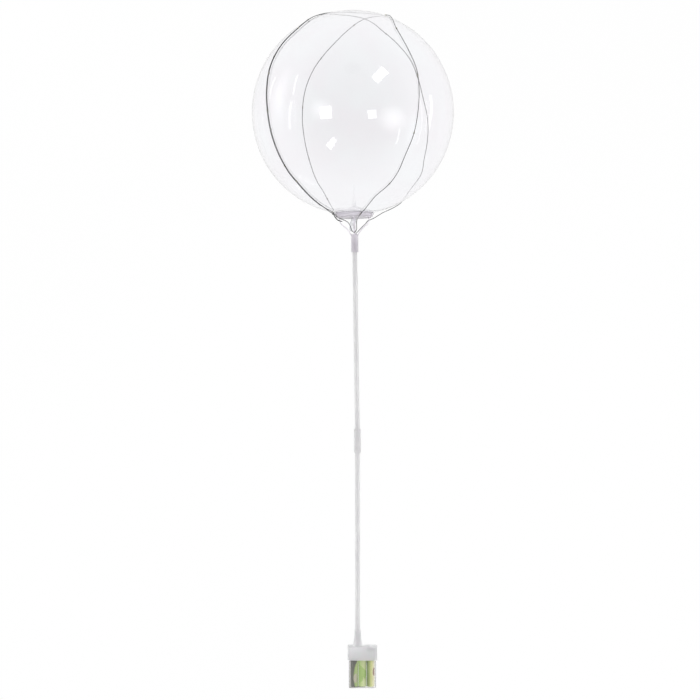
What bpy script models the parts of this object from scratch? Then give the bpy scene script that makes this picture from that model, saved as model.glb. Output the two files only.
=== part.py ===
"""Clear bubble balloon with a lighted wire string, on a clear stick with a battery box.

Units are metres and +Z is up. The balloon lies on its side, so the film has a small flat spot
to rest on, and the stick runs from it along -Y, down to the battery box on the same floor.
The world origin is the middle of that flat spot.

The sizes below are in the balloon's own frame: its origin is the middle of the balloon, the
stick runs along -Z, +X is the viewer's right and +Y points away from the viewer.
"""

import math

import bmesh
import bpy
from mathutils import Matrix, Vector

MILLIMETRE = 0.001

# Clearances
FIT_GAP = 0.0003
SOCKET_CLEARANCE = 0.0003
SLEEVE_CLEARANCE = 0.00045

# Balloon film
BALLOON_RADIUS = 0.1805
BALLOON_SEGMENTS = 48
BALLOON_RINGS = 22
FLAT_SPOT_RADIUS = 0.024
NECK_SIDES = 10
# Height below the balloon's middle is the first value, as a drop from the film's lowest point.
# Then come the sideways lean, the half width and the half thickness.
NECK_RINGS = (
    (-0.0045, 0.0, 0.0140, 0.0140),
    (0.0010, 0.0, 0.0085, 0.0085),
    (0.0045, 0.0, 0.0052, 0.0052),
    (0.0095, -0.0010, 0.0040, 0.0040),
    (0.0140, -0.0025, 0.0052, 0.0048),
    (0.0175, -0.0035, 0.0035, 0.0030),
    (0.0235, -0.0040, 0.0046, 0.0018),
    (0.0300, -0.0034, 0.0040, 0.0012),
)

# Balloon cup: a shallow bowl on four struts, moulded in one with its collar
CUP_RIM_RADIUS = 0.0345
CUP_DEPTH = 0.0088
CUP_WALL = 0.0015
CUP_LIP_HEIGHT = 0.0020
CUP_FOOT_RADIUS = 0.0280
CUP_HOLE_RADIUS = 0.0080
CUP_SEGMENTS = 28
CUP_CURVE_STEPS = 3
CUP_STAND_HEIGHT = 0.0296
STRUT_COUNT = 4
STRUT_WIDTH = 0.0032
STRUT_THICKNESS = 0.0020
STRUT_BITE = 0.0007
# Shares of the way from the collar to the bowl's foot: outwards, then up.
STRUT_SHAPE = ((0.0, -0.11), (0.13, 0.06), (0.45, 0.37), (0.76, 0.55), (0.93, 0.73), (0.97, 1.0))
COLLAR_RADIUS = 0.00645
COLLAR_LENGTH = 0.0320
COLLAR_SOCKET_DEPTH = 0.0220
COLLAR_THROAT_RADIUS = 0.0033

# Stick
TUBE_RADIUS = 0.0043
TUBE_WALL = 0.0010
TUBE_SEGMENTS = 24
UPPER_TUBE_LENGTH = 0.3590
LOWER_TUBE_LENGTH = 0.3580
TUBE_END_GAP = 0.0010
SLEEVE_LENGTH = 0.0420
SLEEVE_WALL = 0.0014
STICK_BEND = math.radians(0.75)

# Battery cap
CAP_WALL = 0.0019
CAP_ROOF = 0.0020
CAP_HEIGHT = 0.0240
CAP_OVERLAP = 0.0110
CAP_CORNER = 0.0035
CAP_TOP_EDGE = 0.0012
BOSS_OFFSET = 0.0084
BOSS_HEIGHT = 0.0290
BOSS_TOP_WALL = 0.0006
BOSS_FOOT_RADIUS = 0.0090
BOSS_SOCKET_DEPTH = 0.0210
BOSS_THROAT_RADIUS = 0.0030
# Shares of the boss's flare: down from its top, then out from its top radius.
BOSS_SHAPE = ((0.0, 0.0), (0.42, 0.22), (0.75, 0.52), (1.0, 1.0))

# Battery box
BOX_HEIGHT = 0.0610
BOX_WALL = 0.0018
BOX_FLOOR = 0.0016
BOX_CORNER = 0.0030
BOX_INNER_CORNER = 0.0012
BOX_FLOOR_EDGE = 0.0015
BOX_CLEARANCE = 0.0003
RIB_WIDTH = 0.0012
RIB_DEPTH = 0.0021
RIB_HEIGHT = 0.0440

# Battery cells, size AA, side by side
CELL_COUNT = 3
CELL_RADIUS = 0.00725
CELL_LENGTH = 0.0505
CELL_PITCH = 0.0147
CELL_EDGE = 0.0006
CELL_NUB_RADIUS = 0.0027
CELL_NUB_HEIGHT = 0.0012
CELL_SEGMENTS = 20
PLATE_THICKNESS = 0.0004
PLATE_WIDTH = 0.0080
PLATE_MARGIN = 0.0030

# Push switch, under the cap's roof on the side away from the boss
SWITCH_OFFSET = 0.0230
SWITCH_LENGTH = 0.0140
SWITCH_WIDTH = 0.0090
SWITCH_HEIGHT = 0.0065
BUTTON_RADIUS = 0.0040
BUTTON_RISE = 0.0008
BUTTON_SEGMENTS = 20

# Light string: a twisted pair of fine wires with a clear resin drop at each light
WIRE_RADIUS = 0.00065
DROP_RADIUS = 0.0014
DROP_LENGTH = 0.0044
DROP_SPACING = 0.1000
DROP_COUNT = 28
STRING_STAND_OFF = DROP_RADIUS + FIT_GAP + 0.0003
STRING_STRIDE = 0.0180
STRING_LONG_STRIDE = 0.0600
STRING_TURN = math.radians(8.0)
STRING_SHARP_TURN = math.radians(24.0)

# The string's route. Points on the film are the azimuth from the viewer's side towards +X and
# the polar angle from the balloon's top, in degrees, and how far the wire stands higher there,
# in millimetres. Free points are x, y and z in millimetres: z is from the top of the cap's roof
# for those in the box, and from the underside of the balloon's cup for the others.
LEAD_IN_BOX = (
    (12.2, -0.4, -9.6),
    (7.5, -0.6, -10.7),
    (2.6, -0.2, -6.7),
    (0.4, 0.0, 0.8),
)
LEAD_TO_CUP = (
    (0.3, 0.0, -39.4),
    (2.2, 0.2, -28.9),
    (8.0, 0.4, -22.6),
    (14.2, 0.6, -16.0),
    (20.2, 1.6, -10.6),
    (23.8, 4.4, -5.4),
    (29.0, 8.3, -3.0),
    (36.4, 10.4, 0.6),
)
UP_BACK_RIGHT = (
    (106.0, 163.0, 2.0),
    (103.5, 157.5, 0.6),
    (112.0, 150.5, 0.0),
    (121.5, 143.5, 0.0),
    (126.0, 134.0, 0.0),
    (125.0, 123.0, 0.0),
    (128.5, 112.0, 0.0),
    (129.0, 102.0, 0.0),
    (129.5, 89.0, 0.0),
    (131.3, 74.5, 0.0),
    (131.0, 64.0, 0.0),
    (130.3, 52.5, 0.0),
    (133.0, 40.0, 0.0),
    (138.0, 27.0, 0.0),
    (139.0, 19.5, 0.0),
    (147.0, 12.5, 0.0),
    (180.0, 7.5, 0.0),
    (-122.0, 8.0, 0.0),
    (-82.0, 13.5, 0.0),
)
DOWN_FRONT_LEFT = (
    (-61.0, 23.5, 0.0),
    (-52.5, 33.5, 0.0),
    (-51.4, 42.0, 0.0),
    (-56.0, 54.0, 0.0),
    (-57.1, 67.0, 0.0),
    (-55.3, 81.0, 0.0),
    (-54.0, 92.0, 0.0),
    (-53.5, 108.0, 0.0),
    (-52.7, 127.0, 0.0),
    (-51.3, 138.0, 0.0),
    (-53.2, 151.0, 0.0),
)
TO_LEFT_STRUT = (
    (-58.0, 161.0, 0.3),
    (-69.5, 165.8, 1.0),
)
ROUND_LEFT_STRUT = (
    (-36.8, -8.8, 6.6),
    (-34.2, -6.6, 1.4),
    (-29.8, -4.6, -3.4),
    (-25.8, -4.2, -5.4),
    (-22.0, 0.0, -6.2),
    (-25.8, 4.2, -5.4),
    (-29.8, 4.8, -3.4),
    (-34.2, 7.0, 1.4),
    (-36.8, 10.5, 6.6),
)
UP_BACK_LEFT = (
    (-130.0, 163.5, 0.8),
    (-149.0, 156.5, 0.0),
    (-154.5, 143.0, 0.0),
    (-154.5, 133.0, 0.0),
    (-152.5, 124.0, 0.0),
    (-151.0, 110.0, 0.0),
    (-149.5, 97.0, 0.0),
    (-148.2, 83.5, 0.0),
    (-148.1, 68.0, 0.0),
    (-151.0, 54.0, 0.0),
    (-156.0, 44.0, 0.0),
    (-164.0, 33.5, 0.0),
    (172.4, 18.5, 1.2),
    (146.5, 14.5, 2.6),
    (120.0, 14.1, 1.2),
    (93.8, 16.7, 0.0),
)
DOWN_FRONT_RIGHT = (
    (64.0, 23.0, 0.0),
    (46.0, 32.0, 0.0),
    (36.0, 44.5, 0.0),
    (35.1, 53.0, 0.0),
    (36.1, 62.5, 0.0),
    (38.1, 74.5, 0.0),
    (37.8, 86.0, 0.0),
    (37.0, 98.0, 0.0),
    (36.1, 109.0, 0.0),
    (33.8, 121.0, 0.0),
    (33.0, 131.5, 0.0),
    (30.8, 139.0, 0.0),
    (23.4, 149.5, 0.0),
    (21.5, 158.0, 0.0),
    (21.4, 165.5, 0.8),
)
ROUND_CUP = (
    (13.6, -34.8, 7.1),
    (9.0, -34.0, 1.1),
    (5.0, -29.5, -4.4),
    (3.9, -27.0, -9.9),
    (3.7, -22.0, -15.9),
    (3.4, -14.0, -22.4),
    (0.0, -11.6, -27.0),
    (-4.0, -10.0, -24.9),
    (-6.6, -10.0, -18.4),
    (-9.3, -11.5, -11.9),
    (-14.2, -14.0, -7.2),
    (-22.0, -17.0, -4.0),
    (-29.5, -19.0, -0.6),
    (-34.0, -18.5, 4.1),
)
TAIL_START = (
    (-59.5, 166.0, 1.2),
    (-55.5, 160.0, 0.2),
)
TAIL_SPACING = 0.0024
TAIL_END = (
    (-71.0, 12.0, 0.0),
    (-87.0, 5.0, 0.0),
    (135.0, 2.5, 0.0),
    (101.0, 8.0, 0.0),
    (95.0, 13.0, 1.2),
    (93.0, 16.8, 2.8),
    (91.5, 20.4, 0.8),
)

# Heights along the stick, from the balloon's middle
RIM_Z = -math.sqrt(BALLOON_RADIUS**2 - (CUP_RIM_RADIUS - CUP_WALL) ** 2) - FIT_GAP
CUP_FOOT_Z = RIM_Z - CUP_DEPTH
COLLAR_TOP_Z = CUP_FOOT_Z - CUP_STAND_HEIGHT
COLLAR_END_Z = COLLAR_TOP_Z - COLLAR_LENGTH
UPPER_TUBE_TOP_Z = COLLAR_END_Z + COLLAR_SOCKET_DEPTH - FIT_GAP
COUPLING_Z = UPPER_TUBE_TOP_Z - UPPER_TUBE_LENGTH - TUBE_END_GAP / 2

# Heights in the lower half, from the middle of the coupling
LOWER_TUBE_TOP = -TUBE_END_GAP / 2
BOSS_SHOULDER = LOWER_TUBE_TOP - LOWER_TUBE_LENGTH - FIT_GAP
BOSS_TOP = BOSS_SHOULDER + BOSS_SOCKET_DEPTH
ROOF_TOP = BOSS_TOP - BOSS_HEIGHT
ROOF_UNDERSIDE = ROOF_TOP - CAP_ROOF
CAP_END = ROOF_TOP - CAP_HEIGHT
BOX_TOP = CAP_END + CAP_OVERLAP
BOX_END = BOX_TOP - BOX_HEIGHT
PLATE_BASE = BOX_END + BOX_FLOOR + FIT_GAP
CELL_BASE = PLATE_BASE + PLATE_THICKNESS + FIT_GAP

# Battery box and cap, across the stick
CAVITY_LENGTH = (CELL_COUNT - 1) * CELL_PITCH + 2 * (CELL_RADIUS + BOX_CLEARANCE)
CAVITY_WIDTH = 2 * (CELL_RADIUS + BOX_CLEARANCE)
BOX_LENGTH = CAVITY_LENGTH + 2 * BOX_WALL
BOX_WIDTH = CAVITY_WIDTH + 2 * BOX_WALL
CAP_LENGTH = BOX_LENGTH + 2 * (FIT_GAP + CAP_WALL)
CAP_WIDTH = BOX_WIDTH + 2 * (FIT_GAP + CAP_WALL)

# How it lies: the flat spot and the box's lower end edge are on the same floor
CENTRE_HEIGHT = math.sqrt(BALLOON_RADIUS**2 - FLAT_SPOT_RADIUS**2)
CORNER_X = BOSS_OFFSET + BOX_LENGTH / 2 - BOX_CORNER
REACH = (
    -COUPLING_Z
    - (BOX_END + BOX_FLOOR_EDGE) * math.cos(STICK_BEND)
    + CORNER_X * math.sin(STICK_BEND)
)
BACK = BOX_WIDTH / 2 - BOX_FLOOR_EDGE
LYING_TILT = math.asin((CENTRE_HEIGHT - BOX_FLOOR_EDGE) / math.hypot(REACH, BACK)) - math.atan2(BACK, REACH)

CLEAR_FILM = ("clear_film", (0.93, 0.93, 0.95), 0.05, 0.0, 0.3)
CLEAR_PLASTIC = ("clear_plastic", (0.88, 0.87, 0.89), 0.15, 0.0, 0.5)
FROSTED_PLASTIC = ("frosted_plastic", (0.82, 0.82, 0.81), 0.45, 0.0, 0.7)
GREEN_SLEEVE = ("green_sleeve", (0.30, 0.55, 0.12), 0.30, 0.2, 1.0)
SPRING_STEEL = ("spring_steel", (0.62, 0.62, 0.60), 0.30, 1.0, 1.0)
DARK_PLASTIC = ("dark_plastic", (0.06, 0.06, 0.06), 0.45, 0.0, 1.0)
SILVER_WIRE = ("silver_wire", (0.65, 0.65, 0.66), 0.25, 1.0, 1.0)


def clear_scene():
    """Removes whatever the startup file holds."""
    for obj in list(bpy.data.objects):
        bpy.data.objects.remove(obj)


def material(finish):
    """The Principled material of a finish: its name, colour, roughness, metallic value and alpha."""
    name, colour, roughness, metallic, alpha = finish
    found = bpy.data.materials.get(name)
    if found:
        return found
    made = bpy.data.materials.new(name)
    made.use_nodes = True
    shader = made.node_tree.nodes["Principled BSDF"]
    shader.inputs["Base Color"].default_value = (*colour, 1.0)
    shader.inputs["Roughness"].default_value = roughness
    shader.inputs["Metallic"].default_value = metallic
    shader.inputs["Alpha"].default_value = alpha
    return made


def add_empty(name, parent, location, rotation=(0.0, 0.0, 0.0)):
    """An empty that carries other objects."""
    empty = bpy.data.objects.new(name, None)
    bpy.context.collection.objects.link(empty)
    empty.parent = parent
    empty.location = location
    empty.rotation_euler = rotation
    return empty


def add_piece(name, bm, parent, location, finish):
    """Turns a bmesh into a named object under its parent, shaded smooth with sharp corners kept."""
    bmesh.ops.recalc_face_normals(bm, faces=bm.faces)
    mesh = bpy.data.meshes.new(name)
    bm.to_mesh(mesh)
    bm.free()
    mesh.shade_smooth()
    mesh.set_sharp_from_angle(angle=math.radians(35))
    obj = bpy.data.objects.new(name, mesh)
    bpy.context.collection.objects.link(obj)
    obj.data.materials.append(material(finish))
    obj.parent = parent
    obj.location = location
    return obj


def add_tool(name, bm, parent, location):
    """A shape that is only used to join to, or cut from, another piece."""
    tool = add_piece(name, bm, parent, location, CLEAR_PLASTIC)
    tool.hide_render = True
    tool.display_type = "WIRE"
    return tool


def combine(obj, tool, operation):
    """Joins the tool to the object, or cuts it away."""
    modifier = obj.modifiers.new(tool.name, "BOOLEAN")
    modifier.operation = operation
    modifier.solver = "EXACT"
    modifier.object = tool


def turned(profile, segments, is_ring):
    """Turns a profile of radius and height round +Z. A ring's profile is a closed loop."""
    bm = bmesh.new()
    verts = [bm.verts.new((radius, 0.0, z)) for radius, z in profile]
    edges = [bm.edges.new(pair) for pair in zip(verts, verts[1:])]
    if is_ring:
        edges.append(bm.edges.new((verts[-1], verts[0])))
    bmesh.ops.spin(
        bm,
        geom=verts + edges,
        cent=(0, 0, 0),
        axis=(0, 0, 1),
        angle=math.tau,
        steps=segments,
        use_merge=True,
    )
    bmesh.ops.remove_doubles(bm, verts=bm.verts, dist=1e-6)
    return bm


def tube(outer, inner, length, segments):
    """A straight tube from z = 0 down to -length."""
    return turned(((inner, 0.0), (outer, 0.0), (outer, -length), (inner, -length)), segments, True)


def rounded_block(length, width, height, corner, corner_steps):
    """A block from z = 0 down to -height, with its upright edges rounded."""
    bm = bmesh.new()
    place = Matrix.Translation((0, 0, -height / 2)) @ Matrix.Diagonal((length, width, height, 1))
    bmesh.ops.create_cube(bm, size=1.0, matrix=place)
    upright = [e for e in bm.edges if abs(e.verts[0].co.z - e.verts[1].co.z) > height / 2]
    bmesh.ops.bevel(
        bm, geom=upright, offset=corner, affect="EDGES", segments=corner_steps, profile=0.5, material=-1
    )
    return bm


def round_end(bm, z, edge, steps):
    """Rounds the edges round a block's end at height z."""
    rim = [e for e in bm.edges if all(abs(v.co.z - z) < 1e-6 for v in e.verts)]
    bmesh.ops.bevel(
        bm, geom=rim, offset=edge, affect="EDGES", segments=steps, profile=0.5, material=-1
    )


def lofted(rings):
    """A closed skin through rings with the same number of points."""
    bm = bmesh.new()
    rows = [[bm.verts.new(point) for point in ring] for ring in rings]
    for row, following in zip(rows, rows[1:]):
        for i in range(len(row)):
            k = (i + 1) % len(row)
            bm.faces.new((row[i], row[k], following[k], following[i]))
    bm.faces.new(rows[0][::-1])
    bm.faces.new(rows[-1])
    return bm


def build_balloon(parent):
    """The film: a ball with a flat spot to rest on, gathered into a tied neck and a short tail."""
    bm = bmesh.new()
    bmesh.ops.create_uvsphere(
        bm, u_segments=BALLOON_SEGMENTS, v_segments=BALLOON_RINGS, radius=BALLOON_RADIUS
    )
    down = Vector((0.0, math.cos(LYING_TILT), -math.sin(LYING_TILT)))
    bmesh.ops.bisect_plane(
        bm,
        geom=bm.verts[:] + bm.edges[:] + bm.faces[:],
        dist=1e-6,
        plane_co=down * CENTRE_HEIGHT,
        plane_no=down,
        clear_outer=True,
    )
    bmesh.ops.edgeloop_fill(bm, edges=[e for e in bm.edges if e.is_boundary])
    balloon = add_piece("balloon_film", bm, parent, (0, 0, 0), CLEAR_FILM)
    rings = []
    for drop, lean, half_width, half_thickness in NECK_RINGS:
        ring = []
        for i in range(NECK_SIDES):
            turn = math.tau * i / NECK_SIDES
            x = lean + half_width * math.cos(turn)
            ring.append((x, half_thickness * math.sin(turn), -BALLOON_RADIUS - drop))
        rings.append(ring)
    combine(balloon, add_tool("neck_shape", lofted(rings), parent, (0, 0, 0)), "UNION")
    return balloon


def bowl_profile():
    """The bowl's section, from the hole out to the rim and back inside."""
    lip_z = RIM_Z - CUP_LIP_HEIGHT
    outer = [(CUP_HOLE_RADIUS, CUP_FOOT_Z)]
    inner = [(CUP_HOLE_RADIUS, CUP_FOOT_Z + CUP_WALL)]
    for i in range(CUP_CURVE_STEPS + 1):
        turn = math.pi / 2 * i / CUP_CURVE_STEPS
        out, up = math.sin(turn), 1 - math.cos(turn)
        reach = CUP_RIM_RADIUS - CUP_FOOT_RADIUS
        outer.append((CUP_FOOT_RADIUS + reach * out, CUP_FOOT_Z + (lip_z - CUP_FOOT_Z) * up))
        inner.append(
            (
                CUP_FOOT_RADIUS + (reach - CUP_WALL) * out,
                CUP_FOOT_Z + CUP_WALL + (lip_z - CUP_FOOT_Z - CUP_WALL) * up,
            )
        )
    outer.append((CUP_RIM_RADIUS, RIM_Z))
    inner.append((CUP_RIM_RADIUS - CUP_WALL, RIM_Z))
    return outer + inner[::-1]


def strut_rings(turn):
    """The sections of one strut, from inside the collar's wall up into the bowl's floor."""
    root = (COLLAR_RADIUS + COLLAR_THROAT_RADIUS) / 2
    foot = CUP_FOOT_RADIUS - STRUT_THICKNESS / 2
    rise = CUP_FOOT_Z + STRUT_BITE - COLLAR_TOP_Z
    line = [
        Vector((root + (foot - root) * out, COLLAR_TOP_Z + rise * up)) for out, up in STRUT_SHAPE
    ]
    spin = Matrix.Rotation(turn, 3, "Z")
    rings = []
    for i, point in enumerate(line):
        along = line[min(i + 1, len(line) - 1)] - line[max(i - 1, 0)]
        if i == len(line) - 1:
            along = Vector((0.0, 1.0))
        across = Vector((along.y, -along.x)).normalized() * STRUT_THICKNESS / 2
        ring = []
        for side, half in ((1, -1), (1, 1), (-1, 1), (-1, -1)):
            radius, z = point + across * side
            ring.append(spin @ Vector((radius, half * STRUT_WIDTH / 2, z)))
        rings.append(ring)
    return rings


def build_cup(parent):
    """The cup: bowl, four struts and the collar that takes the upper tube."""
    cup = add_piece(
        "balloon_cup", turned(bowl_profile(), CUP_SEGMENTS, True), parent, (0, 0, 0), CLEAR_PLASTIC
    )
    socket = TUBE_RADIUS + SOCKET_CLEARANCE
    shoulder = -COLLAR_LENGTH + COLLAR_SOCKET_DEPTH
    collar = turned(
        (
            (COLLAR_THROAT_RADIUS, 0.0),
            (COLLAR_RADIUS, 0.0),
            (COLLAR_RADIUS, -COLLAR_LENGTH),
            (socket, -COLLAR_LENGTH),
            (socket, shoulder),
            (COLLAR_THROAT_RADIUS, shoulder),
        ),
        CUP_SEGMENTS,
        True,
    )
    combine(cup, add_tool("collar_shape", collar, parent, (0, 0, COLLAR_TOP_Z)), "UNION")
    for i in range(STRUT_COUNT):
        bm = lofted(strut_rings(math.tau * i / STRUT_COUNT))
        combine(cup, add_tool(f"strut_shape_{i + 1}", bm, parent, (0, 0, 0)), "UNION")
    return cup


def build_stick(upper, coupling, lower):
    """Both tubes and the sleeve that couples them."""
    bore = TUBE_RADIUS - TUBE_WALL
    upper_tube = tube(TUBE_RADIUS, bore, UPPER_TUBE_LENGTH, TUBE_SEGMENTS)
    add_piece("upper_tube", upper_tube, upper, (0, 0, UPPER_TUBE_TOP_Z), CLEAR_PLASTIC)
    lower_tube = tube(TUBE_RADIUS, bore, LOWER_TUBE_LENGTH, TUBE_SEGMENTS)
    add_piece("lower_tube", lower_tube, lower, (0, 0, LOWER_TUBE_TOP), CLEAR_PLASTIC)
    sleeve_bore = TUBE_RADIUS + SLEEVE_CLEARANCE
    sleeve = tube(sleeve_bore + SLEEVE_WALL, sleeve_bore, SLEEVE_LENGTH, TUBE_SEGMENTS)
    add_piece("coupling_sleeve", sleeve, coupling, (0, 0, SLEEVE_LENGTH / 2), CLEAR_PLASTIC)


def boss_profile():
    """The flared socket on the cap's roof, from its bore out and down to the roof."""
    top_radius = TUBE_RADIUS + SOCKET_CLEARANCE + BOSS_TOP_WALL
    flare = BOSS_FOOT_RADIUS - top_radius
    sides = [(top_radius + flare * out, -BOSS_HEIGHT * down) for down, out in BOSS_SHAPE]
    sunk = -BOSS_HEIGHT - CAP_ROOF / 2
    return [(0.0, 0.0), *sides, (BOSS_FOOT_RADIUS, sunk), (0.0, sunk)]


def build_cap(parent):
    """The frosted cap: a hollow block with the flared boss, its bore and the button's hole."""
    shell = rounded_block(CAP_LENGTH, CAP_WIDTH, CAP_HEIGHT, CAP_CORNER, 3)
    round_end(shell, 0.0, CAP_TOP_EDGE, 2)
    cap = add_piece("battery_cap", shell, parent, (BOSS_OFFSET, 0, ROOF_TOP), FROSTED_PLASTIC)
    boss = turned(boss_profile(), TUBE_SEGMENTS, False)
    combine(cap, add_tool("boss_shape", boss, parent, (0, 0, BOSS_TOP)), "UNION")
    hollow = rounded_block(
        CAP_LENGTH - 2 * CAP_WALL, CAP_WIDTH - 2 * CAP_WALL, CAP_HEIGHT, CAP_CORNER - CAP_WALL, 3
    )
    hollow_tool = add_tool("cap_hollow", hollow, parent, (BOSS_OFFSET, 0, ROOF_UNDERSIDE))
    combine(cap, hollow_tool, "DIFFERENCE")
    socket = TUBE_RADIUS + SOCKET_CLEARANCE
    past = CAP_ROOF
    bore = turned(
        (
            (0.0, past),
            (socket, past),
            (socket, -BOSS_SOCKET_DEPTH),
            (BOSS_THROAT_RADIUS, -BOSS_SOCKET_DEPTH),
            (BOSS_THROAT_RADIUS, -BOSS_HEIGHT - CAP_ROOF - past),
            (0.0, -BOSS_HEIGHT - CAP_ROOF - past),
        ),
        TUBE_SEGMENTS,
        False,
    )
    combine(cap, add_tool("boss_bore", bore, parent, (0, 0, BOSS_TOP)), "DIFFERENCE")
    hole_radius = BUTTON_RADIUS + FIT_GAP
    hole = turned(
        ((0.0, past), (hole_radius, past), (hole_radius, -CAP_ROOF - past), (0.0, -CAP_ROOF - past)),
        BUTTON_SEGMENTS,
        False,
    )
    hole_tool = add_tool("button_hole", hole, parent, (SWITCH_OFFSET, 0, ROOF_TOP))
    combine(cap, hole_tool, "DIFFERENCE")
    return cap


def build_box(parent):
    """The clear box that holds the cells, open under the cap, with ribs between the cells."""
    shell = rounded_block(BOX_LENGTH, BOX_WIDTH, BOX_HEIGHT, BOX_CORNER, 3)
    round_end(shell, -BOX_HEIGHT, BOX_FLOOR_EDGE, 2)
    box = add_piece("battery_box", shell, parent, (BOSS_OFFSET, 0, BOX_TOP), CLEAR_PLASTIC)
    past = BOX_FLOOR
    cavity = rounded_block(
        CAVITY_LENGTH, CAVITY_WIDTH, BOX_HEIGHT - BOX_FLOOR + past, BOX_INNER_CORNER, 2
    )
    cavity_tool = add_tool("box_cavity", cavity, parent, (BOSS_OFFSET, 0, BOX_TOP + past))
    combine(box, cavity_tool, "DIFFERENCE")
    rib_reach = RIB_DEPTH + BOX_WALL / 2
    rib_y = (CAVITY_WIDTH + BOX_WALL) / 2 - rib_reach / 2
    rib_top = BOX_END + BOX_FLOOR / 2 + RIB_HEIGHT
    for i in range(CELL_COUNT - 1):
        rib_x = BOSS_OFFSET + (i - (CELL_COUNT - 2) / 2) * CELL_PITCH
        for side, label in ((-1, "front"), (1, "back")):
            bm = bmesh.new()
            size = Matrix.Diagonal((RIB_WIDTH, rib_reach, RIB_HEIGHT, 1))
            bmesh.ops.create_cube(bm, size=1.0, matrix=size)
            at = (rib_x, side * rib_y, rib_top - RIB_HEIGHT / 2)
            combine(box, add_tool(f"rib_{label}_{i + 1}", bm, parent, at), "UNION")
    return box


def cell_profile(nub_up):
    """Half the outline of a cell that stands on z = 0."""
    body_top = CELL_LENGTH - CELL_NUB_HEIGHT
    outline = [
        (0.0, 0.0),
        (CELL_RADIUS - CELL_EDGE, 0.0),
        (CELL_RADIUS, CELL_EDGE),
        (CELL_RADIUS, body_top - CELL_EDGE),
        (CELL_RADIUS - CELL_EDGE, body_top),
        (CELL_NUB_RADIUS, body_top),
        (CELL_NUB_RADIUS, CELL_LENGTH),
        (0.0, CELL_LENGTH),
    ]
    if nub_up:
        return outline
    return [(radius, CELL_LENGTH - z) for radius, z in outline]


def build_cells(parent):
    """Three cells, each the other way up from its neighbour."""
    first = BOSS_OFFSET - (CELL_COUNT - 1) / 2 * CELL_PITCH
    for i in range(CELL_COUNT):
        bm = turned(cell_profile(i % 2 == 0), CELL_SEGMENTS, False)
        at = (first + i * CELL_PITCH, 0, CELL_BASE)
        add_piece(f"battery_cell_{i + 1}", bm, parent, at, GREEN_SLEEVE)


def build_plates(parent):
    """Two flat contact plates on the box's floor: one bridges two cells, one serves the third."""
    first = BOSS_OFFSET - (CELL_COUNT - 1) / 2 * CELL_PITCH
    spans = (("contact_plate_bridge", 0, 1), ("contact_plate_single", 2, 2))
    for name, start, end in spans:
        length = (end - start) * CELL_PITCH + 2 * (CELL_RADIUS - PLATE_MARGIN)
        centre = first + (start + end) / 2 * CELL_PITCH
        bm = rounded_block(length, PLATE_WIDTH, PLATE_THICKNESS, PLATE_MARGIN / 2, 2)
        at = (centre, 0, PLATE_BASE + PLATE_THICKNESS)
        add_piece(name, bm, parent, at, SPRING_STEEL)


def build_switch(parent):
    """The push switch: a block under the roof, and its round button in the roof's hole."""
    bm = rounded_block(SWITCH_LENGTH, SWITCH_WIDTH, SWITCH_HEIGHT, 0.0008, 1)
    top = ROOF_UNDERSIDE - FIT_GAP
    switch = add_piece("push_switch", bm, parent, (SWITCH_OFFSET, 0, top), DARK_PLASTIC)
    rise = FIT_GAP + CAP_ROOF + BUTTON_RISE
    sunk = SWITCH_HEIGHT / 2
    button = turned(
        ((0.0, rise), (BUTTON_RADIUS - 0.0005, rise), (BUTTON_RADIUS, rise - 0.0005),
         (BUTTON_RADIUS, -sunk), (0.0, -sunk)),
        BUTTON_SEGMENTS,
        False,
    )
    combine(switch, add_tool("button_shape", button, parent, (SWITCH_OFFSET, 0, top)), "UNION")


def on_film(points):
    """Points on the film's stretch of the route, in the balloon's frame."""
    found = []
    for azimuth, polar, lift in points:
        turn, fall = math.radians(azimuth), math.radians(polar)
        out = BALLOON_RADIUS + STRING_STAND_OFF + lift * MILLIMETRE
        side = out * math.sin(fall)
        found.append(Vector((side * math.sin(turn), -side * math.cos(turn), out * math.cos(fall))))
    return found


def beside(points, spacing):
    """The same points on the film the other way round, moved sideways by the spacing."""
    moved = []
    for azimuth, polar, lift in reversed(points):
        turn = spacing / (BALLOON_RADIUS * math.sin(math.radians(polar)))
        moved.append((azimuth + math.degrees(turn), polar, lift))
    return moved


def below(base, points):
    """Free points of the route, with their heights counted from the base's height."""
    return [Vector(point) * MILLIMETRE + Vector((0.0, 0.0, base)) for point in points]


def in_lower_half(points):
    """The points as they lie once the stick's lower half leans."""
    lean = Matrix.Translation((0, 0, COUPLING_Z)) @ Matrix.Rotation(STICK_BEND, 4, "Y")
    return [lean @ point for point in points]


def lead_line():
    """The route from the switch, through the cap and both tubes, to the top of the cup's struts."""
    start = Vector(
        (
            SWITCH_OFFSET - SWITCH_LENGTH / 2 - WIRE_RADIUS - FIT_GAP,
            0.0,
            ROOF_UNDERSIDE - SWITCH_HEIGHT / 2,
        )
    )
    in_lower_tube = [
        Vector((0.0, 0.0, BOSS_TOP)),
        Vector((0.0, 0.0, LOWER_TUBE_TOP - SLEEVE_LENGTH)),
    ]
    in_upper_tube = [
        Vector((0.0, 0.0, COUPLING_Z + SLEEVE_LENGTH)),
        Vector((0.0, 0.0, COLLAR_END_Z)),
    ]
    lower = in_lower_half([start, *below(ROOF_TOP, LEAD_IN_BOX), *in_lower_tube])
    return lower + in_upper_tube + below(CUP_FOOT_Z, LEAD_TO_CUP)


def smooth_line(points, step=0.002):
    """A dense smooth line through the points."""
    ends = [2 * points[0] - points[1], *points, 2 * points[-1] - points[-2]]
    line = [points[0]]
    for before, start, end, after in zip(ends, ends[1:], ends[2:], ends[3:]):
        knots = [0.0]
        for left, right in ((before, start), (start, end), (end, after)):
            knots.append(knots[-1] + math.sqrt((right - left).length))
        count = max(1, round((end - start).length / step))
        for i in range(1, count + 1):
            t = knots[1] + (knots[2] - knots[1]) * i / count
            line.append(curve_point((before, start, end, after), knots, t))
    return line


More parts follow.
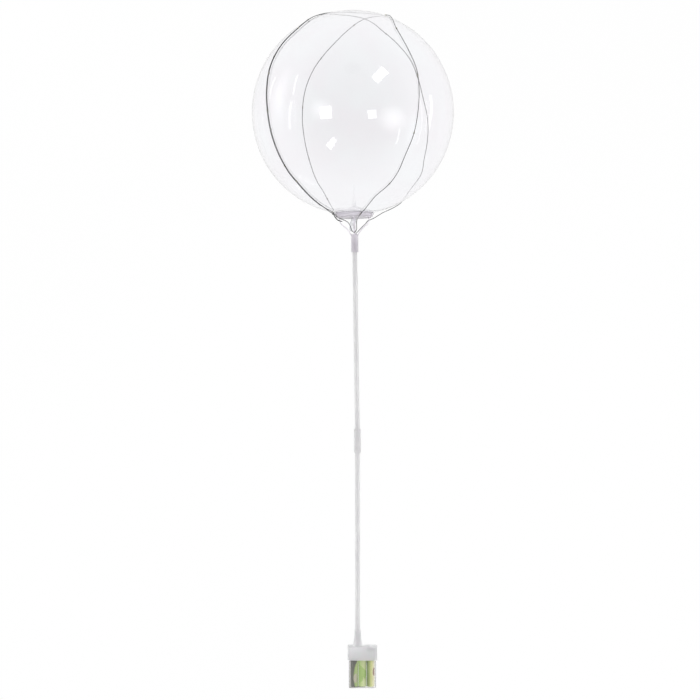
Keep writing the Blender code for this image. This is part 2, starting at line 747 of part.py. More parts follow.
def curve_point(controls, knots, t):
    """The point at t of the centripetal curve through the two middle control points."""
    points = list(controls)
    for level in (1, 2, 3):
        span = 1 if level == 1 else 2
        following = []
        for i in range(len(points) - 1):
            low = knots[i + (level == 3)] if level != 2 else knots[i]
            high = knots[i + span] if level != 3 else knots[2]
            share = (t - low) / (high - low)
            following.append(points[i] * (1 - share) + points[i + 1] * share)
        points = following
    return points[0]


def string_line():
    """The string's dense centre line from the switch to its last light, held off the film."""
    line = smooth_line(
        lead_line()
        + on_film(UP_BACK_RIGHT + DOWN_FRONT_LEFT + TO_LEFT_STRUT)
        + below(CUP_FOOT_Z, ROUND_LEFT_STRUT)
        + on_film(UP_BACK_LEFT + DOWN_FRONT_RIGHT)
        + below(CUP_FOOT_Z, ROUND_CUP)
        + on_film(TAIL_START)
        + on_film(beside(DOWN_FRONT_LEFT, TAIL_SPACING))
        + on_film(TAIL_END)
    )
    least = BALLOON_RADIUS + STRING_STAND_OFF
    return [p.normalized() * max(p.length, least) for p in line]


def string_stations(line):
    """Distances along the line for the tube's points: close on bends, at each drop, else far."""
    travelled = [0.0]
    for left, right in zip(line, line[1:]):
        travelled.append(travelled[-1] + (right - left).length)
    stations = [0.0]
    heading = line[1] - line[0]
    for i in range(1, len(line) - 1):
        gone = travelled[i] - stations[-1]
        turn = heading.angle(line[i + 1] - line[i])
        bends = turn > STRING_SHARP_TURN or (turn > STRING_TURN and gone > STRING_STRIDE)
        if bends or gone > STRING_LONG_STRIDE:
            stations.append(travelled[i])
            heading = line[i + 1] - line[i]
    stations.append(travelled[-1])
    last_drop = travelled[-1] - DROP_LENGTH
    drops = [last_drop - i * DROP_SPACING for i in range(DROP_COUNT)]
    clear = [s for s in stations if all(abs(s - drop) > 0.7 * DROP_LENGTH for drop in drops)]
    for drop in drops:
        clear += [drop - DROP_LENGTH / 2, drop, drop + DROP_LENGTH / 2]
    clear += [0.0, travelled[-1]]
    return travelled, sorted(set(clear)), set(drops)


def build_string(parent):
    """The string as one tube along its whole route, swollen at each resin drop."""
    line = string_line()
    travelled, stations, drops = string_stations(line)
    curve = bpy.data.curves.new("light_string", "CURVE")
    curve.dimensions = "3D"
    curve.bevel_depth = WIRE_RADIUS
    curve.bevel_resolution = 2
    curve.use_fill_caps = True
    spline = curve.splines.new("POLY")
    spline.points.add(len(stations) - 1)
    at = 0
    for point, station in zip(spline.points, stations):
        while at < len(travelled) - 2 and travelled[at + 1] < station:
            at += 1
        share = (station - travelled[at]) / (travelled[at + 1] - travelled[at])
        point.co = (*line[at].lerp(line[at + 1], min(max(share, 0.0), 1.0)), 1.0)
        point.radius = DROP_RADIUS / WIRE_RADIUS if station in drops else 1.0
    string = bpy.data.objects.new("light_string", curve)
    bpy.context.collection.objects.link(string)
    curve.materials.append(material(SILVER_WIRE))
    string.parent = parent
    return string


def main():
    clear_scene()
    lying = add_empty("lying_pose", None, (0, 0, CENTRE_HEIGHT), (LYING_TILT - math.pi / 2, 0, 0))
    coupling = add_empty("coupling", lying, (0, 0, COUPLING_Z), (0, STICK_BEND / 2, 0))
    lower = add_empty("lower_half", lying, (0, 0, COUPLING_Z), (0, STICK_BEND, 0))
    build_balloon(lying)
    build_cup(lying)
    build_stick(lying, coupling, lower)
    build_cap(lower)
    build_box(lower)
    build_cells(lower)
    build_plates(lower)
    build_switch(lower)
    build_string(lying)


main()
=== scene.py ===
"""Looks of the clear bubble balloon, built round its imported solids.

Lengths are metres. Pieces are modelled in the balloon's own frame and then laid down as the
solids lie. In that frame the origin is the middle of the balloon, the stick runs along -Z, +X
is the viewer's right and +Y points away from the viewer.
"""

import logging
import math
from collections.abc import Sequence
from dataclasses import dataclass, field
from enum import Enum

import bmesh
import bpy
import numpy as np
from mathutils import Matrix, Vector


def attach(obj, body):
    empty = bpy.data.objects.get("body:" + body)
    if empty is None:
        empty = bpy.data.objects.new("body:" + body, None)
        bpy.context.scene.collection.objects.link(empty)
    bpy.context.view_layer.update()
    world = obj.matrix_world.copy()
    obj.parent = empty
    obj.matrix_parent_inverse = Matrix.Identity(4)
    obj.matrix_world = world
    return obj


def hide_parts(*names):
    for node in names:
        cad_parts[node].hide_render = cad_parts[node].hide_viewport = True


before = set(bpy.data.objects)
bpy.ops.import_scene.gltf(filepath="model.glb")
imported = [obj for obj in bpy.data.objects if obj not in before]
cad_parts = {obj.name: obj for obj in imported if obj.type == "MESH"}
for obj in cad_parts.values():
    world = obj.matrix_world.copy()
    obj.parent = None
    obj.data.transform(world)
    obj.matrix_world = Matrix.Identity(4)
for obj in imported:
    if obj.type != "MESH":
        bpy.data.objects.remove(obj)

LOG = logging.getLogger("bubble_balloon")

MILLIMETRE = 0.001
TOUCH = 1e-6
FIT_GAP = 0.0003
SOCKET_CLEARANCE = 0.0003
BALLOON_RADIUS = 0.1805
FLAT_SPOT_RADIUS = 0.024
TUBE_RADIUS = 0.0043
TUBE_END_GAP = 0.0010
STICK_BEND = math.radians(0.75)
BOSS_OFFSET = 0.0084
SMOOTH_ANGLE = math.radians(35)

# Cup, along the stick
CUP_RIM_RADIUS = 0.0345
CUP_DEPTH = 0.0088
CUP_WALL = 0.0015
CUP_STAND_HEIGHT = 0.0296
COLLAR_LENGTH = 0.0320
COLLAR_SOCKET_DEPTH = 0.0220

# Stick, cap and box, along the stick
UPPER_TUBE_LENGTH = 0.3590
LOWER_TUBE_LENGTH = 0.3580
SLEEVE_LENGTH = 0.0420
BOSS_HEIGHT = 0.0290
BOSS_SOCKET_DEPTH = 0.0210
CAP_ROOF = 0.0020
CAP_HEIGHT = 0.0240
CAP_OVERLAP = 0.0110
BOX_HEIGHT = 0.0610
BOX_FLOOR = 0.0016
BOX_FLOOR_EDGE = 0.0015
BOX_WALL = 0.0018
BOX_CORNER = 0.0030
CELL_COUNT = 3
CELL_RADIUS = 0.00725
CELL_PITCH = 0.0147
CELL_CLEARANCE = 0.0003
PLATE_THICKNESS = 0.0004
SWITCH_OFFSET = 0.0230
SWITCH_LENGTH = 0.0140
SWITCH_HEIGHT = 0.0065
BUTTON_RADIUS = 0.0040
WIRE_RADIUS = 0.00065
DROP_RADIUS = 0.0014
DROP_CLEARANCE = 0.0003

# Heights from the balloon's middle
RIM_Z = -math.sqrt(BALLOON_RADIUS**2 - (CUP_RIM_RADIUS - CUP_WALL) ** 2) - FIT_GAP
CUP_FOOT_Z = RIM_Z - CUP_DEPTH
COLLAR_TOP_Z = CUP_FOOT_Z - CUP_STAND_HEIGHT
COLLAR_END_Z = COLLAR_TOP_Z - COLLAR_LENGTH
UPPER_TUBE_TOP_Z = COLLAR_END_Z + COLLAR_SOCKET_DEPTH - FIT_GAP
COUPLING_Z = UPPER_TUBE_TOP_Z - UPPER_TUBE_LENGTH - TUBE_END_GAP / 2

# Heights from the middle of the coupling, in the stick's leaning lower half
LOWER_TUBE_TOP = -TUBE_END_GAP / 2
BOSS_TOP = LOWER_TUBE_TOP - LOWER_TUBE_LENGTH - FIT_GAP + BOSS_SOCKET_DEPTH
ROOF_TOP = BOSS_TOP - BOSS_HEIGHT
ROOF_UNDERSIDE = ROOF_TOP - CAP_ROOF
BOX_TOP = ROOF_TOP - CAP_HEIGHT + CAP_OVERLAP
BOX_END = BOX_TOP - BOX_HEIGHT
PLATE_BASE = BOX_END + BOX_FLOOR + FIT_GAP
CELL_BASE = PLATE_BASE + PLATE_THICKNESS + FIT_GAP

CAVITY_LENGTH = (CELL_COUNT - 1) * CELL_PITCH + 2 * (CELL_RADIUS + CELL_CLEARANCE)
CAVITY_WIDTH = 2 * (CELL_RADIUS + CELL_CLEARANCE)
BOX_LENGTH = CAVITY_LENGTH + 2 * BOX_WALL
BOX_WIDTH = CAVITY_WIDTH + 2 * BOX_WALL

# How the object lies: the film's flat spot and the box's end edge are on one floor
CENTRE_HEIGHT = math.sqrt(BALLOON_RADIUS**2 - FLAT_SPOT_RADIUS**2)
REACH = (
    -COUPLING_Z
    - (BOX_END + BOX_FLOOR_EDGE) * math.cos(STICK_BEND)
    + (BOSS_OFFSET + BOX_LENGTH / 2 - BOX_CORNER) * math.sin(STICK_BEND)
)
BACK = BOX_WIDTH / 2 - BOX_FLOOR_EDGE
LYING_TILT = math.asin((CENTRE_HEIGHT - BOX_FLOOR_EDGE) / math.hypot(REACH, BACK))
LYING_TILT -= math.atan2(BACK, REACH)
TOWARDS_FLOOR = Vector((0.0, math.cos(LYING_TILT), -math.sin(LYING_TILT)))


def at(x: float = 0.0, y: float = 0.0, z: float = 0.0) -> Matrix:
    """A place without a turn."""
    return Matrix.Translation((x, y, z))


# From the balloon's frame, the coupling's and the lower half's to the world
LYING = at(z=CENTRE_HEIGHT) @ Matrix.Rotation(LYING_TILT - math.pi / 2, 4, "X")
AT_COUPLING = LYING @ at(z=COUPLING_Z) @ Matrix.Rotation(STICK_BEND / 2, 4, "Y")
LOWER_HALF = LYING @ at(z=COUPLING_Z) @ Matrix.Rotation(STICK_BEND, 4, "Y")

Colour = tuple[float, float, float]
Point = tuple[float, ...]
Input = bpy.types.NodeSocket | float | tuple

WHITE = (1.0, 1.0, 1.0)
NOISE_SPREAD = (0.3, 0.7)


# Shader wiring


@dataclass(frozen=True)
class Noise:
    """The form of a noise: its detail, its stretch along the stick and its mask's edges."""

    detail: float
    roughness: float
    stretch: float = 1.0
    mask: tuple[float, float] = (0.0, 1.0)
    mask_form: str = "LINEAR"


class Effect(Enum):
    """Shader effects that more than one finish uses."""

    CLOUDS = Noise(3.0, 0.55, mask=(0.36, 0.64), mask_form="SMOOTHSTEP")
    RIPPLE = Noise(2.0, 0.5, stretch=0.35)
    GRAIN = Noise(5.0, 0.7)


class Wiring:
    """Adds nodes to one node tree and joins them."""

    def __init__(self, tree: bpy.types.NodeTree) -> None:
        """Keeps the tree that the nodes go into."""
        self.tree = tree

    def add(self, kind: str, inputs: dict | None = None, **settings: object) -> bpy.types.Node:
        """Adds one node.

        Args:
            kind: The node's type name.
            inputs: Values or output sockets, by the input's name or number.
            settings: Values for the node's own properties.

        Returns:
            The new node.
        """
        made = self.tree.nodes.new(kind)
        for name, value in settings.items():
            setattr(made, name, value)
        self.feed(made, inputs or {})
        return made

    def feed(self, node: bpy.types.Node, inputs: dict) -> None:
        """Sets inputs of a node, or links outputs to them.

        Args:
            node: The node.
            inputs: Values or output sockets, by the input's name or number.
        """
        for name, value in inputs.items():
            if isinstance(value, bpy.types.NodeSocket):
                self.tree.links.new(value, node.inputs[name])
            else:
                node.inputs[name].default_value = value

    def maths(self, operation: str, *values: Input) -> bpy.types.NodeSocket:
        """The result of a Math node."""
        return self.add("ShaderNodeMath", dict(enumerate(values)), operation=operation).outputs[0]

    def blend(self, share: Input, first: Input, second: Input, way: str = "MIX") -> bpy.types.NodeSocket:
        """Two colours, mixed or multiplied."""
        inputs = {0: share, 6: first, 7: second}
        return self.add("ShaderNodeMix", inputs, data_type="RGBA", blend_type=way).outputs[2]

    def ramp(
        self, value: Input, low: Input, high: Input, start: Input = 0.0, end: Input = 1.0,
        form: str = "SMOOTHSTEP",
    ) -> bpy.types.NodeSocket:
        """A value's range from low to high, mapped onto another from start to end."""
        inputs = dict(enumerate((value, low, high, start, end)))
        return self.add("ShaderNodeMapRange", inputs, interpolation_type=form).outputs[0]

    def effect(self, effect: Effect, scale: float) -> Sequence:
        """A shared effect's outputs, Mask and Height, at a scale of its noise."""
        return self.add("ShaderNodeGroup", {"Scale": scale}, node_tree=effect_group(effect)).outputs


def opaque(colour: Colour) -> tuple[float, float, float, float]:
    """The colour with full alpha."""
    return (*colour, 1.0)


def effect_group(effect: Effect) -> bpy.types.NodeTree:
    """An effect's node group, which is built at the first call.

    Args:
        effect: Which effect.

    Returns:
        The group.
    """
    name = f"effect_{effect.name.lower()}"
    made = bpy.data.node_groups.get(name)
    if made:
        return made
    made = bpy.data.node_groups.new(name, "ShaderNodeTree")
    for socket, side in (("Scale", "INPUT"), ("Mask", "OUTPUT"), ("Height", "OUTPUT")):
        made.interface.new_socket(name=socket, in_out=side, socket_type="NodeSocketFloat")
    form, wiring = effect.value, Wiring(made)
    scale = wiring.add("NodeGroupInput").outputs["Scale"]
    place = wiring.add("ShaderNodeTexCoord").outputs["Object"]
    drawn = wiring.add("ShaderNodeMapping", {"Vector": place, "Scale": (1.0, form.stretch, 1.0)}).outputs[0]
    look = {"Vector": drawn, "Scale": scale, "Detail": form.detail, "Roughness": form.roughness}
    height = wiring.add("ShaderNodeTexNoise", look).outputs["Fac"]
    mask = wiring.ramp(height, *form.mask, form=form.mask_form)
    wiring.add("NodeGroupOutput", {"Mask": mask, "Height": height})
    return made


# Finishes


@dataclass(frozen=True)
class Finish:
    """A piece's finish, with the record's slot that it stands for."""

    name: str
    slot: str

    def material(self) -> bpy.types.Material:
        """The finish's material, which is made once.

        Returns:
            The material.
        """
        made = bpy.data.materials.get(self.name)
        if not made:
            made = bpy.data.materials.new(self.name)
            made.use_nodes = True
            wiring = Wiring(made.node_tree)
            wiring.feed(made.node_tree.nodes["Principled BSDF"], self.inputs(wiring))
        return made

    def inputs(self, wiring: Wiring) -> dict[str, Input]:
        """The inputs of the finish's shader, by name."""
        raise NotImplementedError(self.name)


@dataclass(frozen=True)
class ClearFinish(Finish):
    """A see-through finish: film, clear plastic, frosted plastic or resin."""

    first: Colour
    second: Colour
    cloud_scale: float
    rough: tuple[float, float]
    ripple_scale: float
    ripple_depth: float = 0.00005
    ior: float = 1.40
    transmission: float = 1.0

    def inputs(self, wiring: Wiring) -> dict[str, Input]:
        """Clouded colour, and slow waves that vary the gloss too.

        Args:
            wiring: The material's wiring.

        Returns:
            The shader's inputs, by name.
        """
        clouds = wiring.effect(Effect.CLOUDS, self.cloud_scale)["Mask"]
        height = wiring.effect(Effect.RIPPLE, self.ripple_scale)["Height"]
        bump = {"Strength": 1.0, "Distance": self.ripple_depth, "Height": height}
        return {
            "Base Color": wiring.blend(clouds, opaque(self.first), opaque(self.second)),
            "Roughness": wiring.ramp(height, *NOISE_SPREAD, *self.rough, form="LINEAR"),
            "Normal": wiring.add("ShaderNodeBump", bump).outputs["Normal"],
            "IOR": self.ior,
            "Transmission Weight": self.transmission,
        }


@dataclass(frozen=True)
class SolidFinish(Finish):
    """An opaque moulded plastic, a metal or a lacquer."""

    first: Colour
    second: Colour
    grain_scale: float
    rough: tuple[float, float]
    grain_depth: float = 0.00004
    metallic: float = 0.0
    coat: float = 0.0
    bump: float = 0.6

    def inputs(self, wiring: Wiring) -> dict[str, Input]:
        """Fine grain in the colour, the gloss and the surface.

        Args:
            wiring: The material's wiring.

        Returns:
            The shader's inputs, by name.
        """
        grain = wiring.effect(Effect.GRAIN, self.grain_scale)
        bump = {"Strength": self.bump, "Distance": self.grain_depth, "Height": grain["Height"]}
        return {
            "Base Color": wiring.blend(grain["Mask"], opaque(self.first), opaque(self.second)),
            "Roughness": wiring.ramp(grain["Height"], *NOISE_SPREAD, *self.rough),
            "Normal": wiring.add("ShaderNodeBump", bump).outputs["Normal"],
            "Metallic": self.metallic,
            "Coat Weight": self.coat,
        }


@dataclass(frozen=True)
class SleeveFinish(Finish):
    """A cell's printed plastic wrap with painted light and shade: stripes across it, one curved area and one
    spot.

    Places across the cell run from -1 at the viewer's left edge to 1, and heights from 0 at its
    lower end to 1. The stripes are print, lighter towards the right with a painted highlight and darker
    towards the left with painted shade. The area is dark print on the left cell, the main green print on the
    middle one and painted shade along the right cell's left edge; the spot is a pale grey spot on the left
    cell, a painted highlight on the middle one and a dark mark on the right one. The area's edge is its
    place across, its bow and the height of its middle.
    """

    print_and_light_stripes: tuple[tuple[float, Colour], ...]
    print_and_shade_area_colour: Colour
    print_and_shade_area_edge: Point
    mark_and_highlight_colour: Colour
    mark_and_highlight_place: Point
    mark_and_highlight_size: Point
    grain_scale: float = 900.0
    grain_tint: Colour = (0.92, 0.92, 0.92)
    rough: tuple[float, float] = (0.26, 0.42)
    metallic: float = 0.1
    print_and_shade_area_blur: float = 0.06
    mark_and_highlight_blur: tuple[float, float] = (1.15, 0.7)

    def inputs(self, wiring: Wiring) -> dict[str, Input]:
        """The print with painted highlights and painted shade, and a fine grain over it.

        Args:
            wiring: The material's wiring.

        Returns:
            The shader's inputs, by name.
        """
        place = wiring.add("ShaderNodeUVMap", uv_map="wrap").outputs["UV"]
        turn, height, _ = wiring.add("ShaderNodeSeparateXYZ", {"Vector": place}).outputs
        across = wiring.maths("SINE", wiring.maths("MULTIPLY", turn, math.tau))
        # Print with painted highlights and painted shade: the stripes, then the curved area, then the spot
        # over them.
        colour = self._print_and_light_stripes(wiring, across)
        colour = wiring.blend(self._print_and_shade_area(wiring, across, height), colour, opaque(self.print_and_shade_area_colour))
        colour = wiring.blend(self._mark_and_highlight(wiring, across, height), colour, opaque(self.mark_and_highlight_colour))
        grain = wiring.effect(Effect.GRAIN, self.grain_scale)
        tint = wiring.blend(grain["Mask"], opaque(self.grain_tint), opaque(WHITE))
        return {
            "Base Color": wiring.blend(1.0, colour, tint, "MULTIPLY"),
            "Roughness": wiring.ramp(grain["Height"], *NOISE_SPREAD, *self.rough),
            "Metallic": self.metallic,
        }

    def _print_and_light_stripes(self, wiring: Wiring, across: Input) -> bpy.types.NodeSocket:
        """The colour of the upright stripes: print, lighter towards the right with a painted highlight and
        darker towards the left with painted shade.

        Args:
            wiring: The material's wiring.
            across: The place across the cell.

        Returns:
            The colour's socket.
        """
        ramp = wiring.add("ShaderNodeValToRGB", {"Fac": wiring.maths("MULTIPLY_ADD", across, 0.5, 0.5)})
        marks = ramp.color_ramp.elements
        while len(marks) < len(self.print_and_light_stripes):
            marks.new(0.5)
        for mark, (place, colour) in zip(marks, self.print_and_light_stripes):
            mark.position = (place + 1) / 2
            mark.color = opaque(colour)
        return ramp.outputs["Color"]

    def _print_and_shade_area(self, wiring: Wiring, across: Input, height: Input) -> bpy.types.NodeSocket:
        """The share of the curved area, left of its edge: dark print on the left cell, the main green print
        on the middle one and painted shade along the right cell's left edge.

        Args:
            wiring: The material's wiring.
            across: The place across the cell.
            height: The height on the cell.

        Returns:
            The share's socket.
        """
        edge, bow, middle = self.print_and_shade_area_edge
        away = wiring.maths("SUBTRACT", height, middle)
        curve = wiring.maths("MULTIPLY_ADD", wiring.maths("MULTIPLY", away, away), bow, edge)
        return wiring.ramp(wiring.maths("SUBTRACT", across, curve), self.print_and_shade_area_blur, -self.print_and_shade_area_blur)

    def _mark_and_highlight(self, wiring: Wiring, across: Input, height: Input) -> bpy.types.NodeSocket:
        """The share of the rounded spot: a pale grey spot on the left cell, a painted highlight on the
        middle one and a dark mark on the right one.

        Args:
            wiring: The material's wiring.
            across: The place across the cell.
            height: The height on the cell.

        Returns:
            The share's socket.
        """
        parts = []
        for value, middle, size in zip((across, height), self.mark_and_highlight_place, self.mark_and_highlight_size):
            away = wiring.maths("DIVIDE", wiring.maths("SUBTRACT", value, middle), size)
            parts.append(wiring.maths("MULTIPLY", away, away))
        return wiring.ramp(wiring.maths("ADD", *parts), *self.mark_and_highlight_blur)


FILM = ClearFinish(
    "balloon_film", "clear_film", (0.962, 0.952, 0.967), (0.967, 0.973, 0.982), 9.0,
    rough=(0.0, 0.02), ripple_scale=7.0, ripple_depth=0.0001, ior=1.45,
)
STICK_PLASTIC = ClearFinish(
    "stick_moulding", "clear_plastic", (0.86, 0.855, 0.86), (0.89, 0.89, 0.885), 40.0,
    rough=(0.29, 0.36), ripple_scale=60.0, ior=1.36, transmission=0.62,
)
BOX_PLASTIC = ClearFinish(
    "box_moulding", "clear_plastic", (0.925, 0.925, 0.90), (0.955, 0.955, 0.94), 40.0,
    rough=(0.0, 0.03), ripple_scale=60.0, ior=1.42,
)
CUP_PLASTIC = ClearFinish(
    "cup_moulding", "clear_plastic", (0.82, 0.785, 0.83), (0.88, 0.855, 0.895), 60.0,
    rough=(0.28, 0.34), ripple_scale=80.0, ripple_depth=0.0001, transmission=0.72,
)
FROSTED = ClearFinish(
    "frosted_moulding", "frosted_plastic", (0.93, 0.915, 0.93), (0.915, 0.93, 0.925), 70.0,
    rough=(0.28, 0.36), ripple_scale=140.0, ripple_depth=0.00003, transmission=0.70,
)
RESIN = ClearFinish(
    "clear_resin", "silver_wire", (0.95, 0.95, 0.96), (0.98, 0.98, 0.98), 200.0,
    rough=(0.0, 0.04), ripple_scale=400.0, ior=1.5,
)
LACQUERED_WIRE = SolidFinish(
    "lacquered_wire", "silver_wire", (0.05, 0.05, 0.055), (0.15, 0.15, 0.155), 260.0,
    rough=(0.224, 0.364), grain_depth=0.00002, metallic=1.0, coat=0.4,
)
BRIGHT_STEEL = SolidFinish(
    "bright_steel", "spring_steel", (0.55, 0.55, 0.54), (0.72, 0.72, 0.71), 700.0,
    rough=(0.208, 0.338), grain_depth=0.00003, metallic=1.0,
)
DARK_MOULDING = SolidFinish(
    "dark_moulding", "dark_plastic", (0.03, 0.03, 0.035), (0.06, 0.06, 0.06), 900.0, rough=(0.36, 0.585)
)
BUTTON_GREY = SolidFinish(
    "button_grey", "dark_plastic", (0.80, 0.80, 0.81), (0.86, 0.86, 0.86), 900.0, rough=(0.32, 0.52)
)
CHIP_PHOSPHOR = SolidFinish(
    "chip_phosphor", "silver_wire", (0.80, 0.72, 0.35), (0.88, 0.80, 0.45), 1500.0,
    rough=(0.4, 0.65), grain_depth=0.00002,
)

WRAPS = (
    # Left cell: dark print and green print, its stripes lighter on the right with a painted highlight; a
    # pale grey spot low down.
    SleeveFinish(
        "cell_wrap_left",
        "green_sleeve",
        print_and_light_stripes=((-1.0, (0.255, 0.265, 0.235)), (0.30, (0.58, 0.74, 0.33)), (1.0, (0.82, 0.92, 0.53))),
        print_and_shade_area_colour=(0.245, 0.25, 0.225),
        print_and_shade_area_edge=(-0.18, 3.2, 0.36),
        mark_and_highlight_colour=(0.76, 0.73, 0.60),
        mark_and_highlight_place=(0.35, 0.30),
        mark_and_highlight_size=(0.52, 0.17),
    ),
    # Middle cell: green print, its stripes above and below lighter with a painted highlight, and a painted
    # highlight low on the right.
    SleeveFinish(
        "cell_wrap_middle",
        "green_sleeve",
        print_and_light_stripes=(
            (-1.0, (0.62, 0.84, 0.34)),
            (0.0, (0.86, 0.99, 0.52)),
            (0.6, (0.90, 0.98, 0.60)),
            (1.0, (0.70, 0.84, 0.44)),
        ),
        print_and_shade_area_colour=(0.60, 0.82, 0.31),
        print_and_shade_area_edge=(0.95, -16.0, 0.45),
        mark_and_highlight_colour=(0.92, 0.99, 0.62),
        mark_and_highlight_place=(0.24, 0.20),
        mark_and_highlight_size=(0.12, 0.15),
    ),
    # Right cell: olive print, painted shade along its left edge, a painted highlight in the cream stripe on
    # the right and a dark brown mark.
    SleeveFinish(
        "cell_wrap_right",
        "green_sleeve",
        print_and_light_stripes=(
            (-1.0, (0.40, 0.50, 0.23)),
            (-0.30, (0.60, 0.69, 0.30)),
            (0.15, (0.91, 0.94, 0.45)),
            (0.7, (0.99, 0.97, 0.71)),
        ),
        print_and_shade_area_colour=(0.38, 0.48, 0.22),
        print_and_shade_area_edge=(-0.62, 0.5, 0.5),
        mark_and_highlight_colour=(0.46, 0.32, 0.26),
        mark_and_highlight_place=(0.86, 0.52),
        mark_and_highlight_size=(0.34, 0.15),
    ),
)


# Shapes


def turned(profile: Sequence[Point], steps: int) -> bmesh.types.BMesh:
    """Turns a profile round +Z. One that doesn't start on the axis is a closed loop.

    Args:
        profile: Radius and height of each point.
        steps: How many steps make the full turn.

    Returns:
        The closed shape.
    """
    bm = bmesh.new()
    verts = [bm.verts.new((radius, 0.0, z)) for radius, z in profile]
    following = verts[1:] + (verts[:1] if profile[0][0] > 0 else [])
    edges = [bm.edges.new(pair) for pair in zip(verts, following)]
    bmesh.ops.spin(
        bm, geom=verts + edges, cent=(0, 0, 0), axis=(0, 0, 1), angle=math.tau, steps=steps, use_merge=True
    )
    bmesh.ops.remove_doubles(bm, verts=bm.verts, dist=TOUCH)
    bmesh.ops.recalc_face_normals(bm, faces=bm.faces)
    return bm


def flat_face(width: float, height: float) -> bmesh.types.BMesh:
    """A flat face round the origin, in the plane z = 0.

    Args:
        width: Its size along X.
        height: Its size along Y.

    Returns:
        The face alone.
    """
    bm = bmesh.new()
    size = Matrix.Diagonal((width, height, 1, 1))
    bmesh.ops.create_grid(bm, x_segments=1, y_segments=1, size=0.5, matrix=size)
    return bm


def round_off(bm: bmesh.types.BMesh, parts: list, radius: float, steps: int, affect: str = "EDGES") -> None:
    """Rounds some edges of a shape, or some corners where affect is VERTICES."""
    bmesh.ops.bevel(bm, geom=parts, offset=radius, affect=affect, segments=steps, profile=0.5, material=-1)


def rounded_block(size: Point, corner: float, steps: int) -> bmesh.types.BMesh:
    """A block from z = 0 down, with rounded upright edges.

    Args:
        size: Its length, width and height.
        corner: The radius of its upright edges.
        steps: How many steps round each corner.

    Returns:
        The closed shape.
    """
    length, width, height = size
    bm = bmesh.new()
    place = at(z=-height / 2) @ Matrix.Diagonal((length, width, height, 1))
    bmesh.ops.create_cube(bm, size=1.0, matrix=place)
    upright = [e for e in bm.edges if abs(e.verts[0].co.z - e.verts[1].co.z) > height / 2]
    round_off(bm, upright, corner, steps)
    return bm


def round_rim(bm: bmesh.types.BMesh, z: float, edge: float, steps: int) -> None:
    """Rounds the edges of a block's end.

    Args:
        bm: The block.
        z: The height of that end.
        edge: The radius.
        steps: How many steps.
    """
    rim = [
        e
        for e in bm.edges
        if all(abs(v.co.z - z) < TOUCH for v in e.verts)
        and any(abs(f.normal.z) < 0.5 for f in e.link_faces)
    ]
    round_off(bm, rim, edge, steps)


def swept(section: bmesh.types.BMesh, stations: Sequence[Matrix]) -> bmesh.types.BMesh:
    """Draws a flat section out along a row of stations.

    Args:
        section: One flat face, in the plane z = 0.
        stations: The section's place at each stop.

    Returns:
        The closed shape.
    """
    face = section.faces[:][0]
    bmesh.ops.transform(section, matrix=stations[0], verts=face.verts[:])
    for before, after in zip(stations, stations[1:]):
        made = bmesh.ops.extrude_face_region(section, geom=[face], use_keep_orig=True)
        if before is not stations[0]:
            bmesh.ops.delete(section, geom=[face], context="FACES_ONLY")
        face = next(item for item in made["geom"] if isinstance(item, bmesh.types.BMFace))
        bmesh.ops.transform(section, matrix=after @ before.inverted(), verts=face.verts[:])
    bmesh.ops.recalc_face_normals(section, faces=section.faces)
    return section


def arc(centre: Point, radius: float, start: float, end: float, steps: int = 4) -> list[Point]:
    """Points of an arc in a profile.

    Args:
        centre: Its centre's radius and height.
        radius: Its own radius.
        start: The first point's angle in degrees, from outwards towards up.
        end: The last point's angle.
        steps: How many steps between them.

    Returns:
        The points.
    """
    turns = [math.radians(start + (end - start) * i / steps) for i in range(steps + 1)]
    return [(centre[0] + radius * math.cos(t), centre[1] + radius * math.sin(t)) for t in turns]


def tube_profile(outer: float, inner: float, length: float, lip: float) -> list[Point]:
    """The section of a tube from z = 0 down, with rounded lips.

    Args:
        outer: Its outer radius.
        inner: Its bore's radius.
        length: Its length.
        lip: The radius of its rounded edges.

    Returns:
        The closed profile.
    """
    top, end = -lip, lip - length
    out, into = outer - lip, inner + lip
    corners = ((out, top, 90), (out, end, 0), (into, end, -90), (into, top, 180))
    return [p for radius, z, turn in corners for p in arc((radius, z), lip, turn, turn - 90, steps=3)]


def smooth_line(points: Sequence[Vector], step: float) -> list[Vector]:
    """A dense smooth line through the points.

    Args:
        points: The points that it passes through.
        step: The length of each of its pieces.

    Returns:
        The line's points.
    """
    ends = [2 * points[0] - points[1], *points, 2 * points[-1] - points[-2]]
    line = [points[0]]
    for controls in zip(ends, ends[1:], ends[2:], ends[3:]):
        knots = [0.0]
        for left, right in zip(controls, controls[1:]):
            knots.append(knots[-1] + math.sqrt((right - left).length))
        count = max(1, round((controls[2] - controls[1]).length / step))
        for i in range(1, count + 1):
            line.append(curve_point(controls, knots, knots[1] + (knots[2] - knots[1]) * i / count))
    return line


def curve_point(controls: Sequence[Vector], knots: Sequence[float], t: float) -> Vector:
    """One point of the centripetal curve through the two middle control points.

    Args:
        controls: Four control points.
        knots: Their knots.
        t: Where on the curve.

    Returns:
        The point.
    """
    points = list(controls)
    for spans in (((0, 1), (1, 2), (2, 3)), ((0, 2), (1, 3)), ((1, 2),)):
        shares = [(t - knots[low]) / (knots[high] - knots[low]) for low, high in spans]
        points = [a * (1 - share) + b * share for a, b, share in zip(points, points[1:], shares)]
    return points[0]


